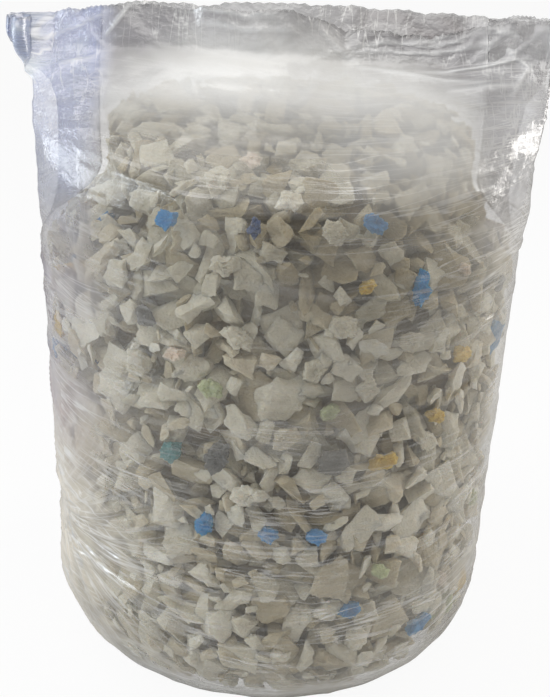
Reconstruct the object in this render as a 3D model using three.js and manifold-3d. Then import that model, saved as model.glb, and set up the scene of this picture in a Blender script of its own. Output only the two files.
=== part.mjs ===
// A clear film bag packed with foam flakes, standing on its base with its mouth pressed flat.
// +Z is up, X runs along the mouth, the front looks along -Y, and the origin is the middle of the base.
import * as THREE from 'three';
import { ConvexGeometry } from 'three/addons/geometries/ConvexGeometry.js';
import { mergeVertices } from 'three/addons/utils/BufferGeometryUtils.js';
import Module from 'manifold-3d';

const wasm = await Module();
wasm.setup();
const { clamp, degToRad, lerp, seededRandom, smoothstep } = THREE.MathUtils;

// Driving dimensions of the bag, in millimetres
const BODY_RADIUS = 150;   // filled bag, just above its base
const BAG_HEIGHT = 438;    // base to mouth
const PANEL_WIDTH = 340;   // front and back panels, from side fold to side fold
const BASE_ROUND = 60;     // soft edge between the base and the wall
const FLATTENING = 11;     // how much the top of the wall is wider along X and thinner along Y
const HEADROOM = 108;      // from the top of the wall to the mouth
const LIP = 20;            // upright band where the two lips lie together
const MOUTH_GAP = 3;       // slit between the lips
const TUCK_HEIGHT = 50;    // rise over which the gussets fold in, above the top of the wall
const EAR = 16;            // how far the left mouth corner is drawn out
const EAR_DEPTH = 45;      // how far below the mouth the drawn corner starts
const FILM = 0.1;          // thickness of the film
const CLOSING = 3;         // how late the film turns in towards the lips, as a power of the rise

// Driving dimensions of the filling, in millimetres
const HEAP_DROP = 42;      // from the mouth down to the top of the flakes
const CLEARANCE = 0.4;     // between the film and the filling
const SEAT_MARGIN = 0.9;   // how far the corners of a flake's seat stand off its own
const FLAKE_DEPTH = 13;    // thickness of a flake, square to the film
const FLAKE_SUNK = 4;      // how far a flake's middle lies under the face of the filling
const FLAKE_REACH = [0.85, 1.1];   // least and most reach of a torn corner, as a share of half the size

// Flakes at the sides and back, in staggered rows: heights as a share of the filling, sizes in
// millimetres, turns from the front and leans in degrees
const BACK_ROWS = [0.3, 0.54, 0.78];
const BACK_COUNT = 7;
const BACK_START = 88;
const BACK_STEP = 30;
const BACK_LENGTH = 24;
const BACK_WIDTH = 17;
const BACK_SPIN = 47;
const BACK_COLOURS = ['white', 'blue', 'cream', 'white', 'yellow', 'white', 'grey', 'cream', 'white', 'pink',
  'white', 'green'];

// Resolution of the faceted surfaces
const PANEL_STEPS = 16;
const GUSSET_STEPS = 5;
const BASE_STEPS = 6;
const WALL_STEPS = 2;
const TOP_STEPS = 10;
const TOP_CROWDING = 1.5;
const FLAKE_CORNERS = 12;

// Values that follow from the dimensions above
const halfPanel = PANEL_WIDTH / 2;
const halfGap = MOUTH_GAP / 2;
const foldTurn = halfPanel / BODY_RADIUS;
const gusset = (Math.PI * BODY_RADIUS - PANEL_WIDTH) / 2;
const gussetFold = halfPanel - gusset;
const wallTop = BAG_HEIGHT - HEADROOM;
const lipBottom = BAG_HEIGHT - LIP;
const heapTop = BAG_HEIGHT - HEAP_DROP;
const heapInset = FILM + CLEARANCE;
const heapRound = BASE_ROUND - heapInset;

// Heights of the rings that the film and the filling share, closer together towards the mouth
const wallLevels = Array.from({ length: WALL_STEPS }, (_, step) => (
  lerp(BASE_ROUND, wallTop, step / WALL_STEPS)
));
const topLevels = Array.from({ length: TOP_STEPS + 1 }, (_, step) => (
  lerp(lipBottom, wallTop, (1 - step / TOP_STEPS) ** TOP_CROWDING)
));

// Once round the film: each point's turn on the round body, its place on the flattened mouth, and how far
// it goes with the tucked fold of a gusset
function filmOutline() {
  const right = Math.PI / 2;
  const leftFront = new THREE.Vector2(-halfPanel, -halfGap);
  const rightFront = new THREE.Vector2(halfPanel, -halfGap);
  const rightFold = new THREE.Vector2(gussetFold, 0);
  const rightBack = new THREE.Vector2(halfPanel, halfGap);
  const leftBack = new THREE.Vector2(-halfPanel, halfGap);
  const leftFold = new THREE.Vector2(-gussetFold, 0);
  const stretches = [
    { turns: [-right - foldTurn, -right + foldTurn], ends: [leftFront, rightFront], tucks: [0, 0] },
    { turns: [-right + foldTurn, 0], ends: [rightFront, rightFold], tucks: [0, 1] },
    { turns: [0, right - foldTurn], ends: [rightFold, rightBack], tucks: [1, 0] },
    { turns: [right - foldTurn, right + foldTurn], ends: [rightBack, leftBack], tucks: [0, 0] },
    { turns: [right + foldTurn, 2 * right], ends: [leftBack, leftFold], tucks: [0, 1] },
    { turns: [2 * right, 3 * right - foldTurn], ends: [leftFold, leftFront], tucks: [1, 0] },
  ];
  return stretches.flatMap(({ turns, ends, tucks }) => {
    const steps = tucks[0] === tucks[1] ? PANEL_STEPS : GUSSET_STEPS;
    return Array.from({ length: steps }, (_, step) => ({
      turn: lerp(...turns, step / steps),
      flat: ends[0].clone().lerp(ends[1], step / steps),
      tuck: lerp(...tucks, step / steps),
    }));
  });
}

const outline = filmOutline();

const wallShare = (z) => clamp((z - BASE_ROUND) / (wallTop - BASE_ROUND), 0, 1);
const topShare = (z) => clamp((z - wallTop) / (lipBottom - wallTop), 0, 1);
const wallHalfWidth = (z) => BODY_RADIUS + FLATTENING * wallShare(z);
const wallHalfDepth = (z) => BODY_RADIUS - FLATTENING * wallShare(z);
const depthLeft = (z) => 1 - topShare(z) ** CLOSING;
const filmHalfDepth = (z) => lerp(halfGap, wallHalfDepth(z), depthLeft(z));

// Slope of the front film at a height, as the length of film for each unit of height
function filmLean(z) {
  if (z < wallTop || z >= lipBottom) return 1;
  const turningIn = CLOSING * topShare(z) ** (CLOSING - 1) / (lipBottom - wallTop);
  return Math.hypot(1, turningIn * (wallHalfDepth(z) - halfGap));
}

// The film's outer section above the base's round edge: from the body's ellipse to the folded mouth
function filmSection(z) {
  const spread = smoothstep(z, wallTop, lipBottom);
  const tucked = smoothstep(z, wallTop, wallTop + TUCK_HEIGHT);
  const pull = EAR * smoothstep(z, BAG_HEIGHT - EAR_DEPTH, BAG_HEIGHT);
  return outline.map(({ turn, flat, tuck }) => {
    const x = lerp(wallHalfWidth(z) * Math.cos(turn), flat.x, lerp(spread, tucked, tuck));
    const y = lerp(flat.y, wallHalfDepth(z) * Math.sin(turn), depthLeft(z));
    return new THREE.Vector2(x - pull * clamp((-x - gussetFold) / gusset, 0, 1), y);
  });
}

// A closed section drawn in by a distance, with its corners kept sharp
function insetSection(points, distance) {
  return points.map((point, index) => {
    const before = points[(index + points.length - 1) % points.length];
    const after = points[(index + 1) % points.length];
    const sides = [[before, point], [point, after]].map(([from, to]) => {
      const along = to.clone().sub(from).normalize();
      return new THREE.Vector2(-along.y, along.x);
    });
    const mitre = sides[0].clone().add(sides[1]).divideScalar(1 + sides[0].dot(sides[1]));
    return point.clone().addScaledVector(mitre, distance);
  });
}

const raise = (points, z) => points.map(({ x, y }) => new THREE.Vector3(x, y, z));

const roundRing = (radius, z) => outline.map(({ turn }) => new THREE.Vector3(
  radius * Math.cos(turn),
  radius * Math.sin(turn),
  z,
));

// Rings of the round edge under the body, from the flat base to the foot of the wall
function baseRings(round) {
  return Array.from({ length: BASE_STEPS }, (_, step) => {
    const rise = Math.PI / 2 * step / BASE_STEPS;
    return roundRing(BODY_RADIUS - BASE_ROUND + round * Math.sin(rise), BASE_ROUND - round * Math.cos(rise));
  });
}

// A closed surface through a row of rings, with a fan over its first and last ring. From the ring where
// it turns back, as the inside of a shell does, its faces are split along the same lines as the outside
function loft(rings, { lastApex, turnsBack = rings.length } = {}) {
  const count = rings[0].length;
  const middle = (ring) => (
    ring.reduce((sum, point) => sum.add(point), new THREE.Vector3()).divideScalar(count)
  );
  const points = [...rings.flat(), middle(rings[0]), lastApex ?? middle(rings.at(-1))];
  const first = rings.length * count;
  const last = first + 1;
  const index = [];
  for (let side = 0; side < count; side += 1) {
    const next = (side + 1) % count;
    index.push(first, next, side);
    for (let ring = 0; ring + 1 < rings.length; ring += 1) {
      const low = ring * count;
      const high = low + count;
      const [ahead, behind] = ring < turnsBack ? [high + next, low + side] : [high + side, low + next];
      index.push(low + side, low + next, ahead, behind, high + next, high + side);
    }
    const top = (rings.length - 1) * count;
    index.push(last, top + side, top + next);
  }
  const geometry = new THREE.BufferGeometry().setFromPoints(points);
  geometry.setIndex(index);
  return geometry;
}

// The bag: one shell of film, flat under the base, gusseted at both sides and open along the mouth
function filmGeometry() {
  const levels = [...wallLevels, ...topLevels, BAG_HEIGHT];
  const outer = [
    ...baseRings(BASE_ROUND),
    ...levels.map((z) => raise(filmSection(z), z)),
  ];
  const inner = [
    ...baseRings(BASE_ROUND - FILM),
    ...levels.map((z) => raise(insetSection(filmSection(z), FILM * filmLean(z)), z)),
  ];
  return loft([...outer, ...inner.reverse()], { turnsBack: outer.length });
}

// Half width and half depth of the filling at a height: inside the film, clear of the folded gussets
function heapHalf(z) {
  if (z < BASE_ROUND) {
    const drop = (BASE_ROUND - z) / heapRound;
    const radius = BODY_RADIUS - BASE_ROUND + heapRound * Math.sqrt(Math.max(0, 1 - drop * drop));
    return { x: radius, y: radius };
  }
  const crown = Math.sqrt(1 - clamp((z - wallTop) / (heapTop - wallTop), 0, 1) ** 2);
  const foldIn = insetSection(filmSection(z), heapInset * filmLean(z))[PANEL_STEPS + GUSSET_STEPS];
  return {
    x: Math.min(wallHalfWidth(z) * crown - heapInset, foldIn.x),
    y: Math.min(wallHalfDepth(z) * crown, filmHalfDepth(z)) - heapInset * filmLean(z),
  };
}

const heapRing = (z) => outline.map(({ turn }) => {
  const half = heapHalf(z);
  return new THREE.Vector3(half.x * Math.cos(turn), half.y * Math.sin(turn), z);
});

// The filling's outer form: all the flakes together, heaped under the closed mouth
function heapGeometry() {
  const levels = [...wallLevels, ...topLevels].filter((z) => z < heapTop);
  const rings = [...baseRings(heapRound), ...levels.map(heapRing)];
  return loft(rings, { lastApex: new THREE.Vector3(0, 0, heapTop) });
}

const goldenTurn = Math.PI * (3 - Math.sqrt(5));

// One torn chunk of foam: a many-sided lump, or with a margin the seat that it lies in
function flakeGeometry({ length, width }, seed, margin) {
  const half = new THREE.Vector3(length / 2, width / 2, FLAKE_DEPTH / 2);
  seededRandom(seed);
  const corners = Array.from({ length: FLAKE_CORNERS }, (_, corner) => {
    const height = 1 - (2 * corner + 1) / FLAKE_CORNERS;
    const ring = Math.sqrt(1 - height * height);
    const turn = corner * goldenTurn;
    const direction = new THREE.Vector3(ring * Math.cos(turn), ring * Math.sin(turn), height);
    const point = direction.clone().multiply(half).multiplyScalar(lerp(...FLAKE_REACH, seededRandom()));
    return point.addScaledVector(direction.divide(half).normalize(), margin);
  });
  return new ConvexGeometry(corners);
}

// Where a flake sits: turned round the bag from the front, flat against the film
function flakePlace({ turn, up, spin }) {
  const z = up * heapTop;
  const half = heapHalf(z);
  const angle = degToRad(turn - 90);
  const face = new THREE.Vector3(half.x * Math.cos(angle), half.y * Math.sin(angle), z);
  const outward = new THREE.Vector3(Math.cos(angle), Math.sin(angle), 0);
  const around = new THREE.Vector3(-outward.y, outward.x, 0);
  const upright = new THREE.Vector3(0, 0, 1);
  const place = new THREE.Matrix4().makeBasis(around, upright, outward);
  place.multiply(new THREE.Matrix4().makeRotationZ(degToRad(spin)));
  return place.setPosition(face.addScaledVector(outward, -FLAKE_SUNK));
}

function solidOf(geometry) {
  const bare = geometry.clone();
  bare.deleteAttribute('normal');
  bare.deleteAttribute('uv');
  const merged = mergeVertices(bare);
  return new wasm.Manifold(new wasm.Mesh({
    numProp: 3,
    vertProperties: new Float32Array(merged.attributes.position.array),
    triVerts: new Uint32Array(merged.index.array),
  }));
}

function geometryOf(solid) {
  const { vertProperties, triVerts } = solid.getMesh();
  const geometry = new THREE.BufferGeometry();
  geometry.setAttribute('position', new THREE.BufferAttribute(vertProperties, 3));
  geometry.setIndex(new THREE.BufferAttribute(triVerts, 1));
  geometry.computeVertexNormals();
  return geometry;
}

const FOAM_COLOURS = {
  white: '#dedbd0',
  cream: '#d3cab2',
  blue: '#4a74a0',
  navy: '#39465c',
  teal: '#5b7a78',
  grey: '#6c6a64',
  yellow: '#c2ac68',
  green: '#a3b18a',
  pink: '#d6b0a2',
};

// Flakes that show against the front film: turn from the front in degrees, height as a share of the
// filling, length and width in millimetres, and the lean of the long side in degrees
const FRONT_FLAKES = [
  { colour: 'blue', turn: -27, up: 0.86, length: 17, width: 13, spin: 20 },
  { colour: 'blue', turn: 22, up: 0.87, length: 19, width: 12, spin: -35 },
  { colour: 'blue', turn: 34, up: 0.76, length: 26, width: 13, spin: 80 },
  { colour: 'blue', turn: -16, up: 0.37, length: 19, width: 14, spin: 75 },
  { colour: 'blue', turn: 0, up: 0.365, length: 16, width: 12, spin: 10 },
  { colour: 'blue', turn: 12, up: 0.36, length: 18, width: 11, spin: -15 },
  { colour: 'blue', turn: 22, up: 0.22, length: 19, width: 11, spin: 5 },
  { colour: 'blue', turn: 46, up: 0.145, length: 26, width: 12, spin: 25 },
  { colour: 'navy', turn: -6, up: 0.865, length: 15, width: 9, spin: 85 },
  { colour: 'teal', turn: -25, up: 0.485, length: 19, width: 16, spin: 30 },
  { colour: 'grey', turn: 15, up: 0.49, length: 25, width: 20, spin: 15 },
  { colour: 'grey', turn: -13, up: 0.49, length: 28, width: 17, spin: 70 },
  { colour: 'grey', turn: -32, up: 0.7, length: 18, width: 14, spin: -40 },
  { colour: 'yellow', turn: 51, up: 0.63, length: 19, width: 15, spin: -20 },
  { colour: 'yellow', turn: 28, up: 0.48, length: 24, width: 13, spin: 8 },
  { colour: 'yellow', turn: 43, up: 0.535, length: 19, width: 11, spin: -12 },
  { colour: 'yellow', turn: 20, up: 0.775, length: 13, width: 9, spin: 30 },
  { colour: 'green', turn: 13, up: 0.575, length: 15, width: 11, spin: 40 },
  { colour: 'green', turn: -15, up: 0.605, length: 18, width: 13, spin: -10 },
  { colour: 'green', turn: 71, up: 0.315, length: 15, width: 12, spin: 50 },
  { colour: 'green', turn: 30, up: 0.28, length: 16, width: 11, spin: -25 },
  { colour: 'pink', turn: -11, up: 0.94, length: 15, width: 10, spin: -5 },
  { colour: 'pink', turn: 47, up: 0.775, length: 12, width: 9, spin: 60 },
  { colour: 'pink', turn: -24, up: 0.65, length: 18, width: 10, spin: 15 },
  { colour: 'pink', turn: 54, up: 0.21, length: 15, width: 11, spin: -30 },
  { colour: 'cream', turn: 3, up: 0.53, length: 22, width: 15, spin: 35 },
  { colour: 'white', turn: -20, up: 0.92, length: 30, width: 18, spin: 72 },
  { colour: 'white', turn: 15, up: 0.715, length: 22, width: 19, spin: -10 },
  { colour: 'white', turn: -12, up: 0.805, length: 25, width: 16, spin: 12 },
  { colour: 'white', turn: -9, up: 0.69, length: 24, width: 16, spin: -18 },
  { colour: 'white', turn: 9, up: 0.645, length: 19, width: 15, spin: 28 },
  { colour: 'white', turn: 22, up: 0.61, length: 21, width: 15, spin: 78 },
  { colour: 'white', turn: 33, up: 0.675, length: 22, width: 15, spin: -8 },
  { colour: 'white', turn: -5, up: 0.43, length: 28, width: 16, spin: 6 },
  { colour: 'white', turn: 12, up: 0.86, length: 20, width: 15, spin: -45 },
  { colour: 'white', turn: 2, up: 0.9, length: 19, width: 14, spin: 18 },
];

// The rows of flakes at the sides and back
function backFlakes() {
  return BACK_ROWS.flatMap((up, row) => Array.from({ length: BACK_COUNT }, (_, column) => {
    const count = row * BACK_COUNT + column;
    return {
      colour: BACK_COLOURS[count % BACK_COLOURS.length],
      turn: BACK_START + BACK_STEP * (column + row / BACK_ROWS.length),
      up,
      length: BACK_LENGTH,
      width: BACK_WIDTH,
      spin: BACK_SPIN * count,
    };
  }));
}

function foamMesh(name, solid, colour) {
  const material = new THREE.MeshStandardMaterial({
    color: FOAM_COLOURS[colour],
    roughness: 0.95,
    metalness: 0,
  });
  const mesh = new THREE.Mesh(geometryOf(solid), material);
  mesh.name = name;
  return mesh;
}

function filmMesh() {
  const material = new THREE.MeshStandardMaterial({
    color: '#e6e9ee',
    roughness: 0.2,
    metalness: 0,
    transparent: true,
    opacity: 0.25,
  });
  const mesh = new THREE.Mesh(filmGeometry(), material);
  mesh.geometry.computeVertexNormals();
  mesh.name = 'film_bag';
  return mesh;
}

// The filling: each flake that shows has its own mesh, and the rest are one packed mass around them
function filling() {
  const group = new THREE.Group();
  const heap = solidOf(heapGeometry());
  const counts = {};
  let packed = heap;
  [...FRONT_FLAKES, ...backFlakes()].forEach((flake, index) => {
    const place = flakePlace(flake);
    const [lump, seat] = [0, SEAT_MARGIN].map((margin) => (
      solidOf(flakeGeometry(flake, index + 1, margin).applyMatrix4(place))
    ));
    packed = packed.subtract(seat);
    counts[flake.colour] = (counts[flake.colour] ?? 0) + 1;
    group.add(foamMesh(`${flake.colour}_flake_${counts[flake.colour]}`, lump.intersect(heap), flake.colour));
  });
  group.add(foamMesh('packed_flakes', packed, 'cream'));
  return group;
}

const bag = new THREE.Group();
bag.add(filmMesh(), filling());

export default bag;
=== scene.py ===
"""Visual model of a clear film bag packed with foam flakes, made around its fixed frame."""

import math
from types import SimpleNamespace

import bmesh
import bpy
import numpy as np
from bpy.props import FloatProperty, FloatVectorProperty, IntProperty, PointerProperty
from mathutils import Euler, Matrix, Vector, noise


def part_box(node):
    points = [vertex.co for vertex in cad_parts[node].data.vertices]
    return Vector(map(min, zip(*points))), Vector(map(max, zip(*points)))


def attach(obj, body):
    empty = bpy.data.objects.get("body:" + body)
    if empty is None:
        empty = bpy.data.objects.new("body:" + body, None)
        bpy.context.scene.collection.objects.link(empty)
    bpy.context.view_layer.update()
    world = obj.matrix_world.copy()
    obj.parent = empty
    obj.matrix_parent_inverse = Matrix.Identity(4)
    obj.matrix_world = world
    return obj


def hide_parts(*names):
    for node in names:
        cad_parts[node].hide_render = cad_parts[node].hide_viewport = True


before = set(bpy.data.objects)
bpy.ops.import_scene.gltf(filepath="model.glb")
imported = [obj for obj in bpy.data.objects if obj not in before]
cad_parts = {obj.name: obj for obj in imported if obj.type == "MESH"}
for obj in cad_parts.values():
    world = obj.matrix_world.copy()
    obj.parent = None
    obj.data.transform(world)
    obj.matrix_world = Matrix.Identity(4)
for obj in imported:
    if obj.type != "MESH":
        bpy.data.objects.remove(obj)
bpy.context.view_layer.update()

bl_info = {
    "name": "Bag of foam flakes",
    "version": (1, 0, 0),
    "blender": (4, 5, 0),
    "location": "3D View > Sidebar > Foam bag",
    "description": "Builds a clear gusseted film bag packed with torn foam flakes",
    "category": "Object",
}

FILM_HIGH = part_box("film_bag")[1]
HEAP_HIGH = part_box("packed_flakes")[1]
BODY = "root"

# The photograph's frame, in pixels
PHOTO_WIDTH = 550
PHOTO_HEIGHT = 697


def length_setting(name, description, default):
    """A setting that is a length"""
    return FloatProperty(name=name, description=description, default=default, unit="LENGTH")


def power_setting(name, description, default):
    """A setting that is the power of a lamp"""
    return FloatProperty(name=name, description=description, default=default, unit="POWER")


def number_setting(name, description, default, subtype="NONE"):
    """A setting that is a number"""
    return FloatProperty(name=name, description=description, default=default, subtype=subtype)


def colour_setting(name, description, default):
    """A setting that is a colour"""
    return FloatVectorProperty(
        name=name, description=description, default=default, size=3, subtype="COLOR", min=0.0, max=1.0)


class FilmSettings(bpy.types.PropertyGroup):
    """Sizes and finish of the clear film"""

    height: length_setting("Height", "From the base to the mouth", FILM_HIGH.z)
    radius: length_setting("Body radius", "Filled bag just above its base", FILM_HIGH.y)
    half_panel: length_setting("Half panel", "Half the width of the front panel at the mouth", FILM_HIGH.x)
    base_round: length_setting("Base round", "Radius of the soft edge under the body", 0.060)
    flattening: length_setting("Flattening", "How much wider and thinner the top of the wall is", 0.011)
    headroom: length_setting("Headroom", "From the top of the wall to the mouth", 0.108)
    lip: length_setting("Lip", "Upright band where the lips lie together", 0.020)
    mouth_gap: length_setting("Mouth gap", "Slit between the lips", 0.003)
    gusset: length_setting("Gusset", "Depth of the fold at each side", 0.0465)
    tuck_height: length_setting("Tuck height", "Rise over which the gussets fold in", 0.050)
    closing: number_setting("Closing", "How late the film turns in towards the lips", 3.0)
    lump: length_setting("Lumps", "Height of the bulges where flakes press on the film", 0.0011)
    tension: length_setting("Tension lines", "Height of the creases that run round the body", 0.0010)
    slack: length_setting("Slack", "How far the film lies in between its creases", 0.0024)
    crumple: length_setting("Crumple", "Height of the loose folds near the mouth", 0.0017)
    veil: colour_setting("Veil", "Milky colour of the film that lies on flakes", (0.55, 0.522, 0.46))
    loose_veil: colour_setting("Loose veil", "Milky colour of the loose film", (0.70, 0.695, 0.68))
    # Painted shade: the lip and back lip veils are dark greys that stand in for the dim surroundings seen
    # through the lips
    lip_veil: colour_setting("Lip veil", "Milky colour of the lips", (0.237, 0.225, 0.244))
    back_veil: colour_setting("Back veil", "Milky colour of the back lip at the right", (0.20, 0.165, 0.155))
    # Painted reflection: the blue of this veil stands in for a bright sky reflected in the ear at the left
    cool_veil: colour_setting("Cool veil", "Milky colour of the ear at the left", (0.49, 0.55, 0.84))
    ear_veil: colour_setting("Ear veil", "Milky colour of the ear at the right", (0.46, 0.455, 0.475))
    side_veil: colour_setting("Side veil", "Milky colour of the shaded left side", (0.29, 0.25, 0.32))
    rim_veil: colour_setting("Rim veil", "Milky colour of the shaded edge at the right", (0.27, 0.255, 0.27))
    clear_tint: colour_setting("Clear tint", "Colour of what passes straight through", (0.985, 0.984, 0.98))
    shade_tint: colour_setting("Shade tint", "Share of the lamps' light that passes", (0.68, 0.68, 0.67))
    gloss: number_setting("Gloss roughness", "Roughness of the film's shine", 0.20)


class FlakeSettings(bpy.types.PropertyGroup):
    """Sizes and colours of the foam flakes"""

    seed: IntProperty(name="Seed", description="Starts the random draws", default=7)
    heap_top: length_setting("Heap top", "Height of the filling", HEAP_HIGH.z)
    film_gap: length_setting("Film gap", "Air between the smooth film and the outer flakes", 0.0007)
    core_depth: length_setting("Core depth", "How far below the film the packed core starts", 0.025)
    white: colour_setting("White foam", "Off-white flakes", (0.74, 0.695, 0.575))
    cream: colour_setting("Cream foam", "Yellowed flakes", (0.63, 0.56, 0.42))
    grey: colour_setting("Grey foam", "Grey flakes", (0.17, 0.17, 0.165))
    blue: colour_setting("Blue foam", "Blue flakes", (0.045, 0.26, 0.56))
    navy: colour_setting("Navy foam", "Dark blue flakes", (0.04, 0.08, 0.20))
    teal: colour_setting("Teal foam", "Blue-green flakes", (0.06, 0.24, 0.25))
    yellow: colour_setting("Yellow foam", "Yellow flakes", (0.70, 0.50, 0.16))
    green: colour_setting("Green foam", "Pale green flakes", (0.52, 0.57, 0.34))
    # Painted shade: the core's dark brown stands in for the shade in the gaps between the flakes
    core: colour_setting("Core foam", "Packed flakes behind the ones that show", (0.46, 0.37, 0.24))
    pink: colour_setting("Pink foam", "Pale pink flakes", (0.72, 0.58, 0.46))


class StageSettings(bpy.types.PropertyGroup):
    """Floor, camera and lamps"""

    floor: colour_setting("Floor", "Colour of the floor", (0.86, 0.86, 0.86))
    camera_distance: length_setting("Camera distance", "Level distance to the bag", 0.950)
    camera_height: length_setting("Camera height", "Height above the floor", 0.634)
    focal_pixels: number_setting("Focal length", "In pixels of the photograph's frame", 1512.7)
    roll: number_setting("Roll", "How far the camera leans", 0.043, "ANGLE")
    centre_x: number_setting("Centre across", "Pixel column of the view's centre", 276.9)
    centre_y: number_setting("Centre down", "Pixel row of the view's centre", 335.3)
    overhead: power_setting("Overhead", "Lamp above", 7.7)
    window: power_setting("Window", "Cool lamp at the left", 13.0)
    rim: power_setting("Rim", "Lamp at the right and behind", 9.0)
    ambient: number_setting("Ambient", "Light from all round", 0.305)


# Small helpers

def smooth_step(value, low, high):
    """From 0 to 1 between two values, level at both ends"""
    share = np.clip((value - low) / (high - low), 0.0, 1.0)
    return share * share * (3 - 2 * share)


def mix(first, second, share):
    """Straight blend of two values"""
    return first + (second - first) * share


def sheet_noise(across, along, seed, cell_across, cell_along, around):
    """Smooth noise from 0 to 1 on a sheet that closes on itself after a length"""
    cells = max(3, round(around / cell_across))
    column = across / around * cells
    row = along / cell_along
    left = np.floor(column).astype(int)
    low = np.floor(row).astype(int)
    table = np.random.default_rng(seed).random((low.max() - low.min() + 2, cells))
    low_index = low - low.min()
    share_across = smooth_step(column - left, 0, 1)
    share_along = smooth_step(row - low, 0, 1)
    corner = [[table[low_index + up, (left + side) % cells] for side in (0, 1)] for up in (0, 1)]
    bottom = mix(corner[0][0], corner[0][1], share_across)
    top = mix(corner[1][0], corner[1][1], share_across)
    return mix(bottom, top, share_along)


def ridges(values, sharpness):
    """Turns smooth noise into thin ridges"""
    return (1 - np.abs(2 * values - 1)) ** sharpness


def bell(value, middle, width):
    """1 at a middle, falling away smoothly to both sides"""
    return np.exp(-((value - middle) / width) ** 2)


def wide(values):
    """One number for each point, ready to be used with a colour for each point"""
    return values[..., None]


def outwards(points):
    """Outward directions at rings of points, and the area that each point stands for"""
    round_step = np.roll(points, -1, axis=1) - np.roll(points, 1, axis=1)
    normal = np.cross(round_step, np.gradient(points, axis=0))
    size = np.linalg.norm(normal, axis=2)
    return normal / wide(np.maximum(size, 1e-12)), size / 2


def piece_from(name, points, faces):
    """A smooth mesh object in the frame's own place"""
    mesh = bpy.data.meshes.new(name)
    mesh.from_pydata(points.tolist(), [], faces if isinstance(faces, list) else faces.tolist())
    mesh.polygons.foreach_set("use_smooth", [True] * len(mesh.polygons))
    mesh.update()
    piece = bpy.data.objects.new(name, mesh)
    bpy.context.scene.collection.objects.link(piece)
    return piece


def add_values(piece, name, values):
    """Stores one number, or one vector, for each point of a piece"""
    values = np.asarray(values, dtype=np.float32)
    kind, key = ("FLOAT", "value") if values.ndim == 1 else ("FLOAT_VECTOR", "vector")
    layer = piece.data.attributes.new(name, kind, "POINT")
    layer.data.foreach_set(key, values.ravel())


# The bag's form, shared by the film and the filling

TUCK_LEAD = 0.042  # how far below the top of the wall the gussets start to fold in
FOLD_SKEW = 0.0035  # the gussets are folded in a little deeper at the left
EASE = 2.5  # how gently the loose film runs into the lips

# Bands of height in which something on the film begins or ends, from the top of the wall
WALL_BANDS = {
    "wall end": (0.0, 0.05),
    "tent": (-0.02, 0.04),
    "ear folds": (-0.03, 0.03),
    "drawn edge": (-0.02, 0.03),
    "free": (-0.09, 0.0),
    "loose": (0.026, 0.068),
    "ears": (-0.035, 0.025),
    "low ear": (0.0, 0.06),
    "rim": (-0.03, 0.0),
    "right lines": (-0.06, 0.0),
}
# The same from the foot of the lips
LIP_BANDS = {"lip folds": (-0.012, 0.004), "lit": (-0.036, -0.020), "lip": (-0.009, 0.005)}


class BagForm:
    """Half widths of the bag at each height, as the frame's solid has them"""

    def __init__(self, film):
        self.film = film
        self.wall_top = film.height - film.headroom
        self.lip_bottom = film.height - film.lip
        self.half_gap = film.mouth_gap / 2
        self.around = 2 * math.pi * film.radius
        self.fold_turn = film.half_panel / film.radius

    def wall_share(self, z):
        return np.clip((z - self.film.base_round) / (self.wall_top - self.film.base_round), 0, 1)

    def half_width(self, z):
        return self.film.radius + self.film.flattening * self.wall_share(z)

    def half_depth(self, z):
        return self.film.radius - self.film.flattening * self.wall_share(z)

    def depth_left(self, z):
        share = np.clip((z - self.wall_top) / (self.lip_bottom - self.wall_top), 0, 1)
        return (1 - share ** self.film.closing) ** EASE

    def film_depth(self, z):
        return mix(self.half_gap, self.half_depth(z), self.depth_left(z))

    def spread(self, z):
        return smooth_step(z, self.wall_top, self.lip_bottom)

    def tucked(self, z):
        return smooth_step(z, self.wall_top - TUCK_LEAD, self.wall_top + self.film.tuck_height - TUCK_LEAD)

    def overshoot(self, points):
        """The furthest that any of these points stands out past the smooth film, less its slack"""
        x, y, z = points.T
        base = self.film.radius - self.film.base_round
        reach = np.hypot(x, y)
        edge = np.hypot(reach - base, z - self.film.base_round) - self.film.base_round
        low = np.where(reach > base, edge, -z)
        wall = (np.hypot(x / self.half_width(z), y / self.half_depth(z)) - 1) * self.film.radius
        wall = np.where(z < self.film.base_round, low, wall)
        aside = np.abs(x - FOLD_SKEW * self.tucked(z))
        top = np.maximum(aside - self.fold_x(z), np.abs(y) - self.film_depth(z))
        return np.where(z > self.wall_top - TUCK_LEAD, np.maximum(wall, top), wall).max() + self.film.slack

    def inner_folds(self):
        inner = self.film.half_panel - self.film.gusset
        return FOLD_SKEW - inner, FOLD_SKEW + inner

    def fold_x(self, z):
        return mix(self.half_width(z), self.film.half_panel - self.film.gusset, self.tucked(z))

    def above_wall(self, z, band):
        """From 0 to 1 through a band at the top of the wall"""
        low, high = WALL_BANDS[band]
        return smooth_step(z, self.wall_top + low, self.wall_top + high)

    def above_lip(self, z, band):
        """From 0 to 1 through a band at the foot of the lips"""
        low, high = LIP_BANDS[band]
        return smooth_step(z, self.lip_bottom + low, self.lip_bottom + high)


# Film

FRONT_COLUMNS = 180
GUSSET_COLUMNS = 30
BACK_COLUMNS = 124
BASE_ROWS = 5
ROUND_ROWS = 24
WALL_ROWS = 132
TENT_ROWS = 58
LIP_ROWS = 12
CROWDING = 0.27
TENT_CROWDING = 1.4  # draws rows of the loose film towards the lips
FILM_FOOT = 0.0002  # the film's least height over the floor

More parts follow.
